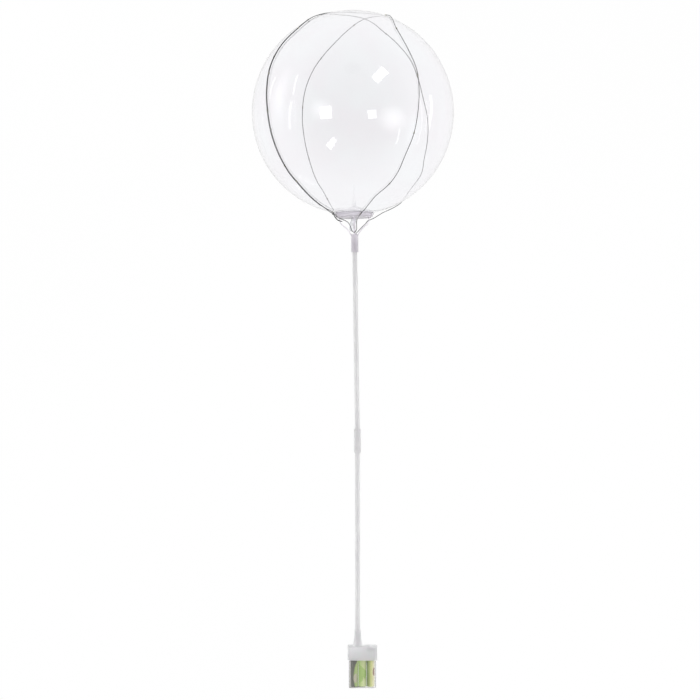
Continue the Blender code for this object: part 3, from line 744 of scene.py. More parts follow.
class Shape:
    """A closed shape that grows by joining and cutting other shapes."""

    def __init__(self, bm: bmesh.types.BMesh, place: Matrix = Matrix()) -> None:
        """Makes an object of a shape, with its place in its mesh.

        Args:
            bm: The shape, which is used up.
            place: Where it goes.
        """
        bm.transform(place)
        bmesh.ops.recalc_face_normals(bm, faces=bm.faces)
        mesh = bpy.data.meshes.new("shape")
        bm.to_mesh(mesh)
        bm.free()
        self.obj = bpy.data.objects.new("shape", mesh)
        bpy.context.collection.objects.link(self.obj)

    def join(self, bm: bmesh.types.BMesh, place: Matrix, operation: str = "UNION") -> None:
        """Runs one Boolean with another shape and keeps its result as the mesh.

        Args:
            bm: The other shape, which is used up.
            place: Where it goes.
            operation: UNION or DIFFERENCE.
        """
        tool = Shape(bm, place).obj
        modifier = self.obj.modifiers.new("combine", "BOOLEAN")
        modifier.operation = operation
        modifier.solver = "MANIFOLD"
        modifier.object = tool
        graph = bpy.context.evaluated_depsgraph_get()
        mesh = bpy.data.meshes.new_from_object(self.obj.evaluated_get(graph))
        self.obj.modifiers.clear()
        self.obj.data = mesh
        bpy.data.objects.remove(tool)

    def cut(self, bm: bmesh.types.BMesh, place: Matrix) -> None:
        """Cuts another shape out of this one."""
        self.join(bm, place, "DIFFERENCE")

    def dress(self, name: str, finish: Finish, *nodes: str, place: Matrix = LYING) -> bpy.types.Object:
        """Finishes the piece: its place, shading, material and the nodes that it replaces.

        Args:
            name: The piece's name.
            finish: Its finish.
            nodes: The nodes that it replaces.
            place: From the shape's frame to the world.

        Returns:
            The piece.
        """
        mesh = self.obj.data
        self.obj.name = mesh.name = name
        mesh.transform(place)
        mesh.shade_smooth()
        mesh.set_sharp_from_angle(angle=SMOOTH_ANGLE)
        mesh.materials.clear()
        mesh.materials.append(finish.material())
        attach(self.obj, "root")
        if nodes:
            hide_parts(*nodes)
        return self.obj


# The string's route


@dataclass(frozen=True)
class Route:
    """The light string's way from the switch, through the stick and round the balloon.

    Points on the film are the azimuth from the viewer's side towards +X and the polar angle
    from the balloon's top, in degrees, then how much higher the wire stands there in
    millimetres, if it does. Free points are x, y and z in millimetres, from the top of the cap's
    roof or from the underside of the balloon's cup.
    """

    stand_off: float = DROP_RADIUS + FIT_GAP + DROP_CLEARANCE
    tail_spacing: float = 0.0024
    step: float = 0.002
    in_cap: tuple = ((12.2, -0.4, -9.6), (7.5, -0.6, -10.7), (2.6, -0.2, -6.7), (0.4, 0, 0.8))
    to_cup: tuple = (
        (0.3, 0, -39.4), (2.2, 0.2, -28.9), (8, 0.4, -22.6), (14.2, 0.6, -16), (20.2, 1.6, -10.6),
        (23.8, 4.4, -5.4), (29, 8.3, -3), (36.4, 10.4, 0.6),
    )
    up_back_right: tuple = (
        (106, 163, 2), (103.5, 157.5, 0.6), (112, 150.5), (121.5, 143.5), (126, 134), (125, 123),
        (128.5, 112), (129, 102), (129.5, 89), (131.3, 74.5), (131, 64), (130.3, 52.5), (133, 40),
        (138, 27), (139, 19.5), (147, 12.5), (180, 7.5), (-122, 8), (-82, 13.5),
    )
    down_front_left: tuple = (
        (-61, 23.5), (-52.5, 33.5), (-51.4, 42), (-56, 54), (-57.1, 67), (-55.3, 81), (-54, 92),
        (-53.5, 108), (-52.7, 127), (-51.3, 138), (-53.2, 151),
    )
    to_left_strut: tuple = ((-58, 161, 0.3), (-69.5, 165.8, 1))
    round_left_strut: tuple = (
        (-36.8, -8.8, 6.6), (-34.2, -6.6, 1.4), (-29.8, -4.6, -3.4), (-25.8, -4.2, -5.4),
        (-22, 0, -6.2), (-25.8, 4.2, -5.4), (-29.8, 4.8, -3.4), (-34.2, 7, 1.4), (-36.8, 10.5, 6.6),
    )
    up_back_left: tuple = (
        (-130, 163.5, 0.8), (-149, 156.5), (-154.5, 143), (-154.5, 133), (-152.5, 124), (-151, 110),
        (-149.5, 97), (-148.2, 83.5), (-148.1, 68), (-151, 54), (-156, 44), (-164, 33.5),
        (172.4, 18.5, 1.2), (146.5, 14.5, 2.6), (120, 14.1, 1.2), (93.8, 16.7),
    )
    down_front_right: tuple = (
        (64, 23), (46, 32), (36, 44.5), (35.1, 53), (36.1, 62.5), (38.1, 74.5), (37.8, 86), (37, 98),
        (36.1, 109), (33.8, 121), (33, 131.5), (30.8, 139), (23.4, 149.5), (21.5, 158),
        (21.4, 165.5, 0.8),
    )
    round_cup: tuple = (
        (13.6, -34.8, 7.1), (9, -34, 1.1), (5, -29.5, -4.4), (3.9, -27, -9.9), (3.7, -22, -15.9),
        (3.4, -14, -22.4), (0, -11.6, -27), (-4, -10, -24.9), (-6.6, -10, -18.4), (-9.3, -11.5, -11.9),
        (-14.2, -14, -7.2), (-22, -17, -4), (-29.5, -19, -0.6), (-34, -18.5, 4.1),
    )
    tail_start: tuple = ((-59.5, 166, 1.2), (-55.5, 160, 0.2))
    tail_end: tuple = (
        (-71, 12), (-87, 5), (135, 2.5), (101, 8), (95, 13, 1.2), (93, 16.8, 2.8), (91.5, 20.4, 0.8),
    )

    def on_film(self, points: Sequence[Point]) -> list[Vector]:
        """Points on the film's stretch of the route.

        Args:
            points: Azimuth, polar angle and, if any, lift of each.

        Returns:
            Their places in the balloon's frame.
        """
        found = []
        for azimuth, polar, *lift in points:
            turn, fall = math.radians(azimuth), math.radians(polar)
            out = BALLOON_RADIUS + self.stand_off + sum(lift) * MILLIMETRE
            side = out * math.sin(fall)
            found.append(Vector((side * math.sin(turn), -side * math.cos(turn), out * math.cos(fall))))
        return found

    def beside(self, points: Sequence[Point]) -> list[Point]:
        """The same points the other way round, moved sideways by the tail's spacing."""
        aside = math.degrees(self.tail_spacing / BALLOON_RADIUS)
        return [(a + aside / math.sin(math.radians(p)), p, *lift) for a, p, *lift in reversed(points)]

    @staticmethod
    def below(base: float, points: Sequence[Point]) -> list[Vector]:
        """Free points, with their heights counted from the base's."""
        return [Vector(point) * MILLIMETRE + Vector((0.0, 0.0, base)) for point in points]

    def lead(self) -> list[Vector]:
        """The route from the switch, through the cap and both tubes, to the top of the cup's struts.

        Returns:
            The points, in the balloon's frame.
        """
        switch_side = SWITCH_OFFSET - SWITCH_LENGTH / 2 - WIRE_RADIUS - FIT_GAP
        start = Vector((switch_side, 0.0, ROOF_UNDERSIDE - SWITCH_HEIGHT / 2))
        in_lower_tube = [Vector((0.0, 0.0, z)) for z in (BOSS_TOP, LOWER_TUBE_TOP - SLEEVE_LENGTH)]
        in_upper_tube = [Vector((0.0, 0.0, z)) for z in (COUPLING_Z + SLEEVE_LENGTH, COLLAR_END_Z)]
        lean = LYING.inverted() @ LOWER_HALF
        lower = [lean @ p for p in (start, *self.below(ROOF_TOP, self.in_cap), *in_lower_tube)]
        return lower + in_upper_tube + self.below(CUP_FOOT_Z, self.to_cup)

    def line(self) -> list[Vector]:
        """The string's dense centre line from the switch to its last light, held off the film.

        Returns:
            The line's points.
        """
        points = (
            self.lead()
            + self.on_film(self.up_back_right + self.down_front_left + self.to_left_strut)
            + self.below(CUP_FOOT_Z, self.round_left_strut)
            + self.on_film(self.up_back_left + self.down_front_right)
            + self.below(CUP_FOOT_Z, self.round_cup)
            + self.on_film([*self.tail_start, *self.beside(self.down_front_left), *self.tail_end])
        )
        least = BALLOON_RADIUS + self.stand_off
        return [p.normalized() * max(p.length, least) for p in smooth_line(points, self.step)]


# Sub-assemblies


@dataclass
class Balloon:
    """The film: a thin clear ball, its tied neck and the flattened tail below the knot."""

    radius: float = BALLOON_RADIUS
    wall: float = 0.0002
    steps: int = 208
    rings: int = 90
    neck_step: float = 0.0008
    # How much wider the ball is where it goes over into the neck
    neck_flare: float = 1.3
    # How far below the ball's lowest point, then the radius there
    neck: tuple = (
        (-0.0006, 0.0170), (0.0006, 0.0110), (0.0022, 0.0074), (0.0045, 0.0052), (0.0095, 0.0040),
        (0.0140, 0.0051), (0.0175, 0.0035), (0.0235, 0.0045), (0.0288, 0.0041), (0.0298, 0.0034),
        (0.0300, 0.0),
    )
    # The same drop, then the sideways lean and the thickness as a share of the width
    neck_form: tuple = (
        (0.0, 0.0, 1.0), (0.0045, 0.0, 1.0), (0.0095, -0.0010, 1.0), (0.0140, -0.0025, 0.92),
        (0.0175, -0.0035, 0.86), (0.0235, -0.0040, 0.40), (0.0300, -0.0034, 0.30),
    )
    pleats: int = 14
    pleat_depth: float = 0.0005
    pleat_start: float = -0.004
    pleat_growth: float = 0.006
    pleat_core: float = 0.003
    soften: float = 0.0006
    soften_reach: float = 12.0

    def build(self) -> list[bpy.types.Object]:
        """Builds the film.

        Returns:
            The film, as the one piece.
        """
        bm = turned(self._profile(), self.steps)
        for vert in bm.verts:
            self._gather(vert)
            self._rest(vert)
        film = Shape(bm).dress("film_shell", FILM, "balloon_film")
        wall = film.modifiers.new("wall", "SOLIDIFY")
        wall.thickness = self.wall
        wall.offset = -1.0
        return [film]

    def _profile(self) -> list[Point]:
        """The ball's outline from its top pole down to the tail's end.

        Returns:
            The outline's points.
        """
        last = math.degrees(math.asin(self.neck[0][1] * self.neck_flare / self.radius))
        ball = arc((0.0, 0.0), self.radius, 90, last - 90, self.rings)
        ball[0] = (0.0, self.radius)
        neck = [Vector((r, -self.radius - drop, 0.0)) for drop, r in self.neck]
        smooth = smooth_line([Vector((*ball[-1], 0.0)), *neck], self.neck_step)
        tail = [(max(p.x, 0.0), p.y) for p in smooth[1:-1]]
        return [*ball, *tail, (0.0, smooth[-1].y)]

    def _gather(self, vert: bmesh.types.BMVert) -> None:
        """Leans and flattens the neck, and folds it into pleats.

        Args:
            vert: One point of the film, which is moved.
        """
        drop = -self.radius - vert.co.z
        if drop < self.pleat_start:
            return
        out = math.hypot(vert.co.x, vert.co.y)
        if out > TOUCH:
            turn = math.atan2(vert.co.y, vert.co.x)
            growth = min(1.0, (drop - self.pleat_start) / self.pleat_growth)
            growth *= min(1.0, out / self.pleat_core)
            wider = 1 + self.pleat_depth * growth * math.sin(self.pleats * turn) / out
            vert.co.x *= wider
            vert.co.y *= wider
        drops, leans, shares = zip(*self.neck_form)
        vert.co.x += np.interp(drop, drops, leans)
        vert.co.y *= np.interp(drop, drops, shares)

    def _rest(self, vert: bmesh.types.BMVert) -> None:
        """Flattens the film softly where it rests on the floor.

        Args:
            vert: One point of the film, which is moved.
        """
        down = vert.co.dot(TOWARDS_FLOOR)
        over = (down - CENTRE_HEIGHT) / self.soften
        if over > -self.soften_reach:
            eased = CENTRE_HEIGHT - self.soften * math.log1p(math.exp(-over))
            vert.co += TOWARDS_FLOOR * (eased - down)


@dataclass
class Cup:
    """The shallow bowl on four curved struts, moulded in one with its collar."""

    rim_radius: float = CUP_RIM_RADIUS
    foot_radius: float = 0.0280
    hole_radius: float = 0.0080
    lip_height: float = 0.0020
    wall: float = CUP_WALL
    steps: int = 96
    curve_steps: int = 10
    strut_count: int = 4
    strut_width: float = 0.0032
    strut_thickness: float = 0.0020
    strut_bite: float = 0.0007
    strut_corner: float = 0.0006
    strut_step: float = 0.0022
    # Shares of the way from the collar to the bowl's foot: outwards, then up
    strut_shape: tuple = (
        (0.0, -0.11), (0.13, 0.06), (0.45, 0.37), (0.76, 0.55), (0.93, 0.73), (0.97, 1.0),
    )
    collar_radius: float = 0.00645
    collar_steps: int = 64
    throat_radius: float = 0.0033
    lip: float = 0.0005

    def build(self) -> list[bpy.types.Object]:
        """Builds the cup.

        Returns:
            The cup, as the one piece.
        """
        cup = Shape(turned(self._bowl(), self.steps))
        cup.join(turned(self._collar(), self.collar_steps), at(z=COLLAR_TOP_Z))
        for i in range(self.strut_count):
            section = flat_face(self.strut_thickness, self.strut_width)
            round_off(section, section.verts[:], self.strut_corner, 3, "VERTICES")
            strut = swept(section, self._stations())
            cup.join(strut, Matrix.Rotation(math.tau * i / self.strut_count, 4, "Z"))
        return [cup.dress("cup_moulding", CUP_PLASTIC, "balloon_cup")]

    def _bowl(self) -> list[Point]:
        """The bowl's section, from the hole out to the rim and back inside.

        Returns:
            The closed profile.
        """
        reach = self.rim_radius - self.foot_radius
        rise = RIM_Z - self.lip_height - CUP_FOOT_Z
        turns = [math.pi / 2 * i / self.curve_steps for i in range(self.curve_steps + 1)]
        curve = [(math.sin(turn), 1 - math.cos(turn)) for turn in turns]
        outer, inner = (
            [(self.foot_radius + (reach - w) * out, CUP_FOOT_Z + w + (rise - w) * up) for out, up in curve]
            for w in (0.0, self.wall)
        )
        edge = self.wall / 2
        hole = arc((self.hole_radius + edge, CUP_FOOT_Z + edge), edge, 90, 270, steps=6)
        rim = arc((self.rim_radius - edge, RIM_Z - edge), edge, 0, 180, steps=8)
        return [*hole, *outer, *rim, *inner[::-1]]

    def _collar(self) -> list[Point]:
        """The collar's section, with its socket for the tube.

        Returns:
            The closed profile.
        """
        socket = TUBE_RADIUS + SOCKET_CLEARANCE
        shoulder = COLLAR_SOCKET_DEPTH - COLLAR_LENGTH
        return [
            (self.throat_radius, 0.0),
            *arc((self.collar_radius - self.lip, -self.lip), self.lip, 90, 0),
            *arc((self.collar_radius - self.lip, self.lip - COLLAR_LENGTH), self.lip, 0, -90),
            (socket, -COLLAR_LENGTH),
            (socket, shoulder),
            (self.throat_radius, shoulder),
        ]

    def _stations(self) -> list[Matrix]:
        """The places of a strut's section, from the collar's wall up into the bowl's floor.

        Returns:
            The stations along the strut.
        """
        root = (self.collar_radius + self.throat_radius) / 2
        reach = self.foot_radius - self.strut_thickness / 2 - root
        rise = CUP_FOOT_Z + self.strut_bite - COLLAR_TOP_Z
        stops = [Vector((root + reach * out, 0.0, COLLAR_TOP_Z + rise * up)) for out, up in self.strut_shape]
        line = smooth_line(stops, self.strut_step)
        directions = [after - before for before, after in zip([line[0], *line], line[1:])]
        stations = []
        for point, along in zip(line, [*directions, Vector((0.0, 0.0, 1.0))]):
            along = along.normalized()
            across = Vector((along.z, 0.0, -along.x))
            turn = Matrix((across, (0.0, 1.0, 0.0), along)).transposed().to_4x4()
            stations.append(at(*point) @ turn)
        return stations


@dataclass
class Stick:
    """Both halves of the clear stick, and the sleeve that couples them."""

    radius: float = TUBE_RADIUS
    wall: float = 0.0010
    lip: float = 0.0003
    steps: int = 64
    sleeve_clearance: float = 0.00045
    sleeve_wall: float = 0.0014
    sleeve_lip: float = 0.0005

    def build(self) -> list[bpy.types.Object]:
        """Builds the tubes and the sleeve.

        Returns:
            Both tubes and the sleeve.
        """
        made = []
        for half, length, place in (
            ("upper", UPPER_TUBE_LENGTH, LYING @ at(z=UPPER_TUBE_TOP_Z)),
            ("lower", LOWER_TUBE_LENGTH, LOWER_HALF @ at(z=LOWER_TUBE_TOP)),
        ):
            profile = tube_profile(self.radius, self.radius - self.wall, length, self.lip)
            tube = Shape(turned(profile, self.steps))
            made.append(tube.dress(f"{half}_stick_tube", STICK_PLASTIC, f"{half}_tube", place=place))
        inner = self.radius + self.sleeve_clearance
        profile = tube_profile(inner + self.sleeve_wall, inner, SLEEVE_LENGTH, self.sleeve_lip)
        sleeve = Shape(turned(profile, self.steps))
        place = AT_COUPLING @ at(z=SLEEVE_LENGTH / 2)
        return [*made, sleeve.dress("stick_sleeve", STICK_PLASTIC, "coupling_sleeve", place=place)]


@dataclass
class Cap:
    """The frosted cap over the battery box, with the flared off-centre boss for the stick."""

    wall: float = 0.0019
    corner: float = 0.0035
    top_edge: float = 0.0012
    boss_top_wall: float = 0.0006
    boss_foot_radius: float = 0.0090
    throat_radius: float = 0.0030
    # Shares of the boss's flare: down from its top, then out from its top radius
    boss_shape: tuple = ((0.0, 0.0), (0.42, 0.22), (0.75, 0.52), (1.0, 1.0))
    boss_step: float = 0.0012
    steps: int = 72
    socket: float = TUBE_RADIUS + SOCKET_CLEARANCE

    def build(self) -> list[bpy.types.Object]:
        """Builds the cap.

        Returns:
            The cap, as the one piece.
        """
        length = BOX_LENGTH + 2 * (FIT_GAP + self.wall)
        width = BOX_WIDTH + 2 * (FIT_GAP + self.wall)
        block = rounded_block((length, width, CAP_HEIGHT), self.corner, steps=8)
        round_rim(block, 0.0, self.top_edge, steps=4)
        cap = Shape(block, at(BOSS_OFFSET, 0, ROOF_TOP))
        cap.join(turned(self._boss(), self.steps), at(z=BOSS_TOP))
        inside = (length - 2 * self.wall, width - 2 * self.wall, CAP_HEIGHT)
        cap.cut(rounded_block(inside, self.corner - self.wall, steps=6), at(BOSS_OFFSET, 0, ROOF_UNDERSIDE))
        cap.cut(turned(self._bore(), self.steps), at(z=BOSS_TOP))
        hole = BUTTON_RADIUS + FIT_GAP
        plug = [(0.0, CAP_ROOF), (hole, CAP_ROOF), (hole, -2 * CAP_ROOF), (0.0, -2 * CAP_ROOF)]
        cap.cut(turned(plug, steps=48), at(SWITCH_OFFSET, 0, ROOF_TOP))
        return [cap.dress("cap_moulding", FROSTED, "battery_cap", place=LOWER_HALF)]

    def _boss(self) -> list[Point]:
        """The boss's outline from its top down into the roof.

        Returns:
            The outline's points.
        """
        top = self.socket + self.boss_top_wall
        flare = self.boss_foot_radius - top
        stops = [Vector((top + flare * out, -BOSS_HEIGHT * down, 0.0)) for down, out in self.boss_shape]
        side = [(p.x, p.y) for p in smooth_line(stops, self.boss_step)]
        sunk = -BOSS_HEIGHT - CAP_ROOF / 2
        return [(0.0, 0.0), *side, (self.boss_foot_radius, sunk), (0.0, sunk)]

    def _bore(self) -> list[Point]:
        """The outline of the boss's socket and of the throat below it.

        Returns:
            The outline's points.
        """
        end = -BOSS_HEIGHT - 2 * CAP_ROOF
        return [
            (0.0, CAP_ROOF),
            (self.socket, CAP_ROOF),
            (self.socket, -BOSS_SOCKET_DEPTH),
            (self.throat_radius, -BOSS_SOCKET_DEPTH),
            (self.throat_radius, end),
            (0.0, end),
        ]


def cell_x(number: float) -> float:
    """A cell's place along the box, counted from 0 at the viewer's left."""
    return BOSS_OFFSET + (number - (CELL_COUNT - 1) / 2) * CELL_PITCH


@dataclass
class BatteryBox:
    """The clear box under the cap, with ribs that part the cells."""

    inner_corner: float = 0.0012
    rib_width: float = 0.0012
    rib_depth: float = 0.0021
    rib_height: float = 0.0440
    rib_corner: float = 0.0003

    def build(self) -> list[bpy.types.Object]:
        """Builds the box.

        Returns:
            The box, as the one piece.
        """
        block = rounded_block((BOX_LENGTH, BOX_WIDTH, BOX_HEIGHT), BOX_CORNER, steps=8)
        round_rim(block, -BOX_HEIGHT, BOX_FLOOR_EDGE, steps=5)
        box = Shape(block, at(BOSS_OFFSET, 0, BOX_TOP))
        cavity = rounded_block((CAVITY_LENGTH, CAVITY_WIDTH, BOX_HEIGHT), self.inner_corner, steps=5)
        box.cut(cavity, at(BOSS_OFFSET, 0, BOX_TOP + BOX_FLOOR))
        reach = self.rib_depth + BOX_WALL / 2
        rib_y = (CAVITY_WIDTH + BOX_WALL - reach) / 2
        rib_top = BOX_END + BOX_FLOOR / 2 + self.rib_height
        for i in range(CELL_COUNT - 1):
            for side in (-1, 1):
                rib = rounded_block((self.rib_width, reach, self.rib_height), self.rib_corner, steps=3)
                box.join(rib, at(cell_x(i + 0.5), side * rib_y, rib_top))
        return [box.dress("box_moulding", BOX_PLASTIC, "battery_box", place=LOWER_HALF)]


@dataclass
class Cells:
    """Three AA cells side by side, each the other way up from its neighbour."""

    radius: float = CELL_RADIUS
    length: float = 0.0505
    steps: int = 64
    shoulder: float = 0.0007
    wrap_thickness: float = 0.00015
    wrap_fold: float = 0.0011
    wrap_gap: float = 0.00005
    wrap_top: float = 0.0001
    # The flat end: how far out its middle reaches past the nub's radius, and how far it stands down
    foot_reach: tuple = (0.0012, 0.0015)
    foot_height: float = 0.0003
    nub_radius: float = 0.0027
    nub_height: float = 0.0012
    nub_edge: float = 0.0004
    nub_groove: tuple = (0.0009, 0.0006)

    def build(self) -> list[bpy.types.Object]:
        """Builds each cell's steel can and its printed wrap.

        Returns:
            The cans and wraps, cell by cell.
        """
        made = []
        for number, finish in enumerate(WRAPS):
            place = LOWER_HALF @ at(cell_x(number), 0, CELL_BASE)
            flip = at(z=self.length) @ Matrix.Rotation(math.pi, 4, "X") if number % 2 else Matrix()
            can = Shape(turned(self._can(), self.steps))
            made.append(can.dress(f"cell_{number + 1}_can", BRIGHT_STEEL, place=place @ flip))
            sleeve = turned(self._wrap(), self.steps)
            self._map_wrap(sleeve)
            names = (f"cell_{number + 1}_wrap", finish, f"battery_cell_{number + 1}")
            made.append(Shape(sleeve).dress(*names, place=place))
        return made

    def _can(self) -> list[Point]:
        """The steel can's outline, from the middle of its flat end up to the nub.

        Returns:
            The outline's points.
        """
        foot, edge = self.foot_height, self.shoulder
        body_top = self.length - self.nub_height
        can = self.radius - self.wrap_thickness - self.wrap_gap - edge
        return [
            (0.0, 0.0),
            (self.nub_radius + self.foot_reach[0], 0.0),
            (self.nub_radius + self.foot_reach[1], foot),
            (can, foot),
            *arc((can, foot + edge), edge, -90, 0),
            *arc((can, body_top - edge), edge, 0, 90),
            (self.nub_radius + self.nub_groove[0], body_top),
            (self.nub_radius + self.nub_groove[1], body_top - foot),
            (self.nub_radius, body_top - foot),
            *arc((self.nub_radius - self.nub_edge, self.length - self.nub_edge), self.nub_edge, 0, 90),
            (0.0, self.length),
        ]

    def _wrap(self) -> list[Point]:
        """The wrap's closed section, folded in over both ends of the can.

        Returns:
            The closed profile.
        """
        wall, edge = self.wrap_thickness, self.shoulder
        end, top = wall, self.length - self.nub_height + self.wrap_top
        fold = self.radius - self.wrap_fold
        outer, inner = self.radius - edge, self.radius - wall - edge
        return [
            (fold, end),
            *arc((outer, end + edge), edge, -90, 0),
            *arc((outer, top - edge), edge, 0, 90),
            (fold, top),
            (fold, top - wall),
            *arc((inner, top - wall - edge), edge, 90, 0),
            *arc((inner, end + wall + edge), edge, 0, -90),
            (fold, end + wall),
        ]

    def _map_wrap(self, bm: bmesh.types.BMesh) -> None:
        """Gives the wrap a UV map: the turn from the viewer's side, then the height.

        Args:
            bm: The wrap, standing on z = 0.
        """
        layer = bm.loops.layers.uv.new("wrap")
        for face in bm.faces:
            middle = face.calc_center_median()
            base = math.atan2(middle.x, -middle.y)
            for loop in face.loops:
                turn = math.atan2(loop.vert.co.x, -loop.vert.co.y)
                turn += math.tau * round((base - turn) / math.tau)
                loop[layer].uv = (turn / math.tau, loop.vert.co.z / self.length)


@dataclass
class Contacts:
    """The flat spring-steel contacts on the box's floor, with a pressed ring under each cell."""

    width: float = 0.0080
    margin: float = 0.0030
    ring_radius: float = 0.0026
    ring_height: float = 0.00025

    def build(self) -> list[bpy.types.Object]:
        """Builds both contact plates.

        Returns:
            Both plates.
        """
        top = PLATE_BASE + PLATE_THICKNESS
        made = []
        for name, start, end in (("bridge", 0, 1), ("single", 2, 2)):
            length = (end - start) * CELL_PITCH + 2 * (CELL_RADIUS - self.margin)
            base = rounded_block((length, self.width, PLATE_THICKNESS), self.margin / 2, steps=6)
            plate = Shape(base, at(cell_x((start + end) / 2), 0, top))
            for cell in range(start, end + 1):
                ring = arc((self.ring_radius, 0.0), self.ring_height, -90, 270, steps=12)
                plate.join(turned(ring[:-1], steps=40), at(cell_x(cell), 0, top))
            node = f"contact_plate_{name}"
            made.append(plate.dress(f"{name}_contact", BRIGHT_STEEL, node, place=LOWER_HALF))
        return made


@dataclass
class PushSwitch:
    """The push switch under the cap's roof, and its round button in the roof's hole."""

    width: float = 0.0090
    corner: float = 0.0008
    edge: float = 0.0004
    leg_radius: float = 0.0004
    leg_length: float = 0.0026
    leg_sunk: float = 0.0005
    button_rise: float = 0.0008
    button_edge: float = 0.0006
    button_gap: float = 0.0001
    dish_radius: float = 0.6 * BUTTON_RADIUS
    dish_depth: float = 0.0002

    def build(self) -> list[bpy.types.Object]:
        """Builds the switch's body and its button.

        Returns:
            The body and the button.
        """
        top = ROOF_UNDERSIDE - FIT_GAP
        block = rounded_block((SWITCH_LENGTH, self.width, SWITCH_HEIGHT), self.corner, steps=4)
        round_rim(block, 0.0, self.edge, steps=2)
        round_rim(block, -SWITCH_HEIGHT, self.edge, steps=2)
        body = Shape(block, at(SWITCH_OFFSET, 0, top))
        radius, sunk, end = self.leg_radius, self.leg_sunk, -self.leg_length
        for side in (-1, 1):
            leg = turned([(0.0, sunk), (radius, sunk), (radius, end), (0.0, end)], steps=16)
            body.join(leg, at(SWITCH_OFFSET + side * SWITCH_LENGTH / 4, 0, top - SWITCH_HEIGHT))
        rise = FIT_GAP + CAP_ROOF + self.button_rise
        edge = self.button_edge
        outline = [
            (0.0, rise - self.dish_depth),
            (self.dish_radius, rise - self.dish_depth),
            *arc((BUTTON_RADIUS - edge, rise - edge), edge, 90, 0, steps=5),
            (BUTTON_RADIUS, self.button_gap),
            (0.0, self.button_gap),
        ]
        button = Shape(turned(outline, steps=48), at(SWITCH_OFFSET, 0, top))
        return [
            body.dress("switch_body", DARK_MOULDING, "push_switch", place=LOWER_HALF),
            button.dress("switch_button", BUTTON_GREY, place=LOWER_HALF),
        ]


@dataclass
class LightString:
    """The twisted pair of fine wires, with a clear resin drop and a chip at each light."""

    route: Route = field(default_factory=Route)
    strand_radius: float = 0.00040
    strand_offset: float = 0.00034
    twist_pitch: float = 0.0070
    spacing: float = 0.0011
    drop_size: tuple = (DROP_RADIUS, DROP_RADIUS, 0.00253)
    drop_segments: tuple = (14, 9)
    drop_length: float = 0.0044
    drop_spacing: float = 0.1000
    drop_count: int = 28
    chip_size: tuple = (0.0010, 0.0007, 0.0014)
    chip_edge: float = 0.0001

    def build(self) -> list[bpy.types.Object]:
        """Builds the wires, the drops and the chips in them.

        Returns:
            The wires, the drops and the chips.
        """
        stops = self._stops()
        last = stops[-1][0] - self.drop_length
        drops, chips = bmesh.new(), bmesh.new()
        round_it, along_it = self.drop_segments
        for i in range(self.drop_count):
            gone = last - i * self.drop_spacing
            _, point, across, up = min(stops, key=lambda stop: abs(stop[0] - gone))
            place = at(*point) @ Matrix((across, up, across.cross(up))).transposed().to_4x4()
            bmesh.ops.create_uvsphere(
                drops, u_segments=round_it, v_segments=along_it, radius=1.0,
                matrix=place @ Matrix.Diagonal((*self.drop_size, 1)),
            )
            bmesh.ops.create_cube(chips, size=1.0, matrix=place @ Matrix.Diagonal((*self.chip_size, 1)))
        round_off(chips, chips.edges[:], self.chip_edge, steps=1)
        return [
            Shape(self._strands(stops)).dress("string_wires", LACQUERED_WIRE, "light_string"),
            Shape(drops).dress("string_drops", RESIN),
            Shape(chips).dress("string_chips", CHIP_PHOSPHOR),
        ]

    def _stops(self) -> list[tuple[float, Vector, Vector, Vector]]:
        """Evenly spaced stops along the string: its length so far, the point and two ways across.

        Returns:
            The stops, from the switch to the last light.
        """
        line = self.route.line()
        travelled = [0.0]
        for left, right in zip(line, line[1:]):
            travelled.append(travelled[-1] + (right - left).length)
        count = round(travelled[-1] / self.spacing)
        stops = []
        start = 0
        across = Vector((0.0, 1.0, 0.0))
        for i in range(count + 1):
            gone = travelled[-1] * i / count
            while start < len(line) - 2 and travelled[start + 1] < gone:
                start += 1
            share = (gone - travelled[start]) / (travelled[start + 1] - travelled[start])
            along = (line[start + 1] - line[start]).normalized()
            across = (across - along * across.dot(along)).normalized()
            point = line[start].lerp(line[start + 1], min(max(share, 0.0), 1.0))
            stops.append((gone, point, across.copy(), along.cross(across)))
        return stops

    def _strands(self, stops: Sequence) -> bmesh.types.BMesh:
        """Both strands as tubes along the route.

        Args:
            stops: The stops along the string.

        Returns:
            The strands' shape.
        """
        curve = bpy.data.curves.new("strands", "CURVE")
        curve.dimensions = "3D"
        curve.bevel_depth = self.strand_radius
        curve.bevel_resolution = 1
        curve.use_fill_caps = True
        for phase in (0.0, math.pi):
            spline = curve.splines.new("POLY")
            spline.points.add(len(stops) - 1)
            for point, (gone, middle, across, up) in zip(spline.points, stops):
                turn = math.tau * gone / self.twist_pitch + phase
                aside = (across * math.cos(turn) + up * math.sin(turn)) * self.strand_offset
                point.co = (*(middle + aside), 1.0)
        guide = bpy.data.objects.new("strands", curve)
        bpy.context.collection.objects.link(guide)
        graph = bpy.context.evaluated_depsgraph_get()
        bm = bmesh.new()
        bm.from_mesh(bpy.data.meshes.new_from_object(guide.evaluated_get(graph)))
        bpy.data.objects.remove(guide)
        return bm


# Studio


def emptied(owner: bpy.types.Material | bpy.types.World) -> Wiring:
    """Clears the nodes of a material or a world.

    Args:
        owner: The material or world.

    Returns:
        Its wiring.
    """
    owner.use_nodes = True
    owner.node_tree.nodes.clear()
    return Wiring(owner.node_tree)


class PanelEdge(Enum):
    """How a light panel ends."""

    HARD = "hard"
    SOFT = "soft"


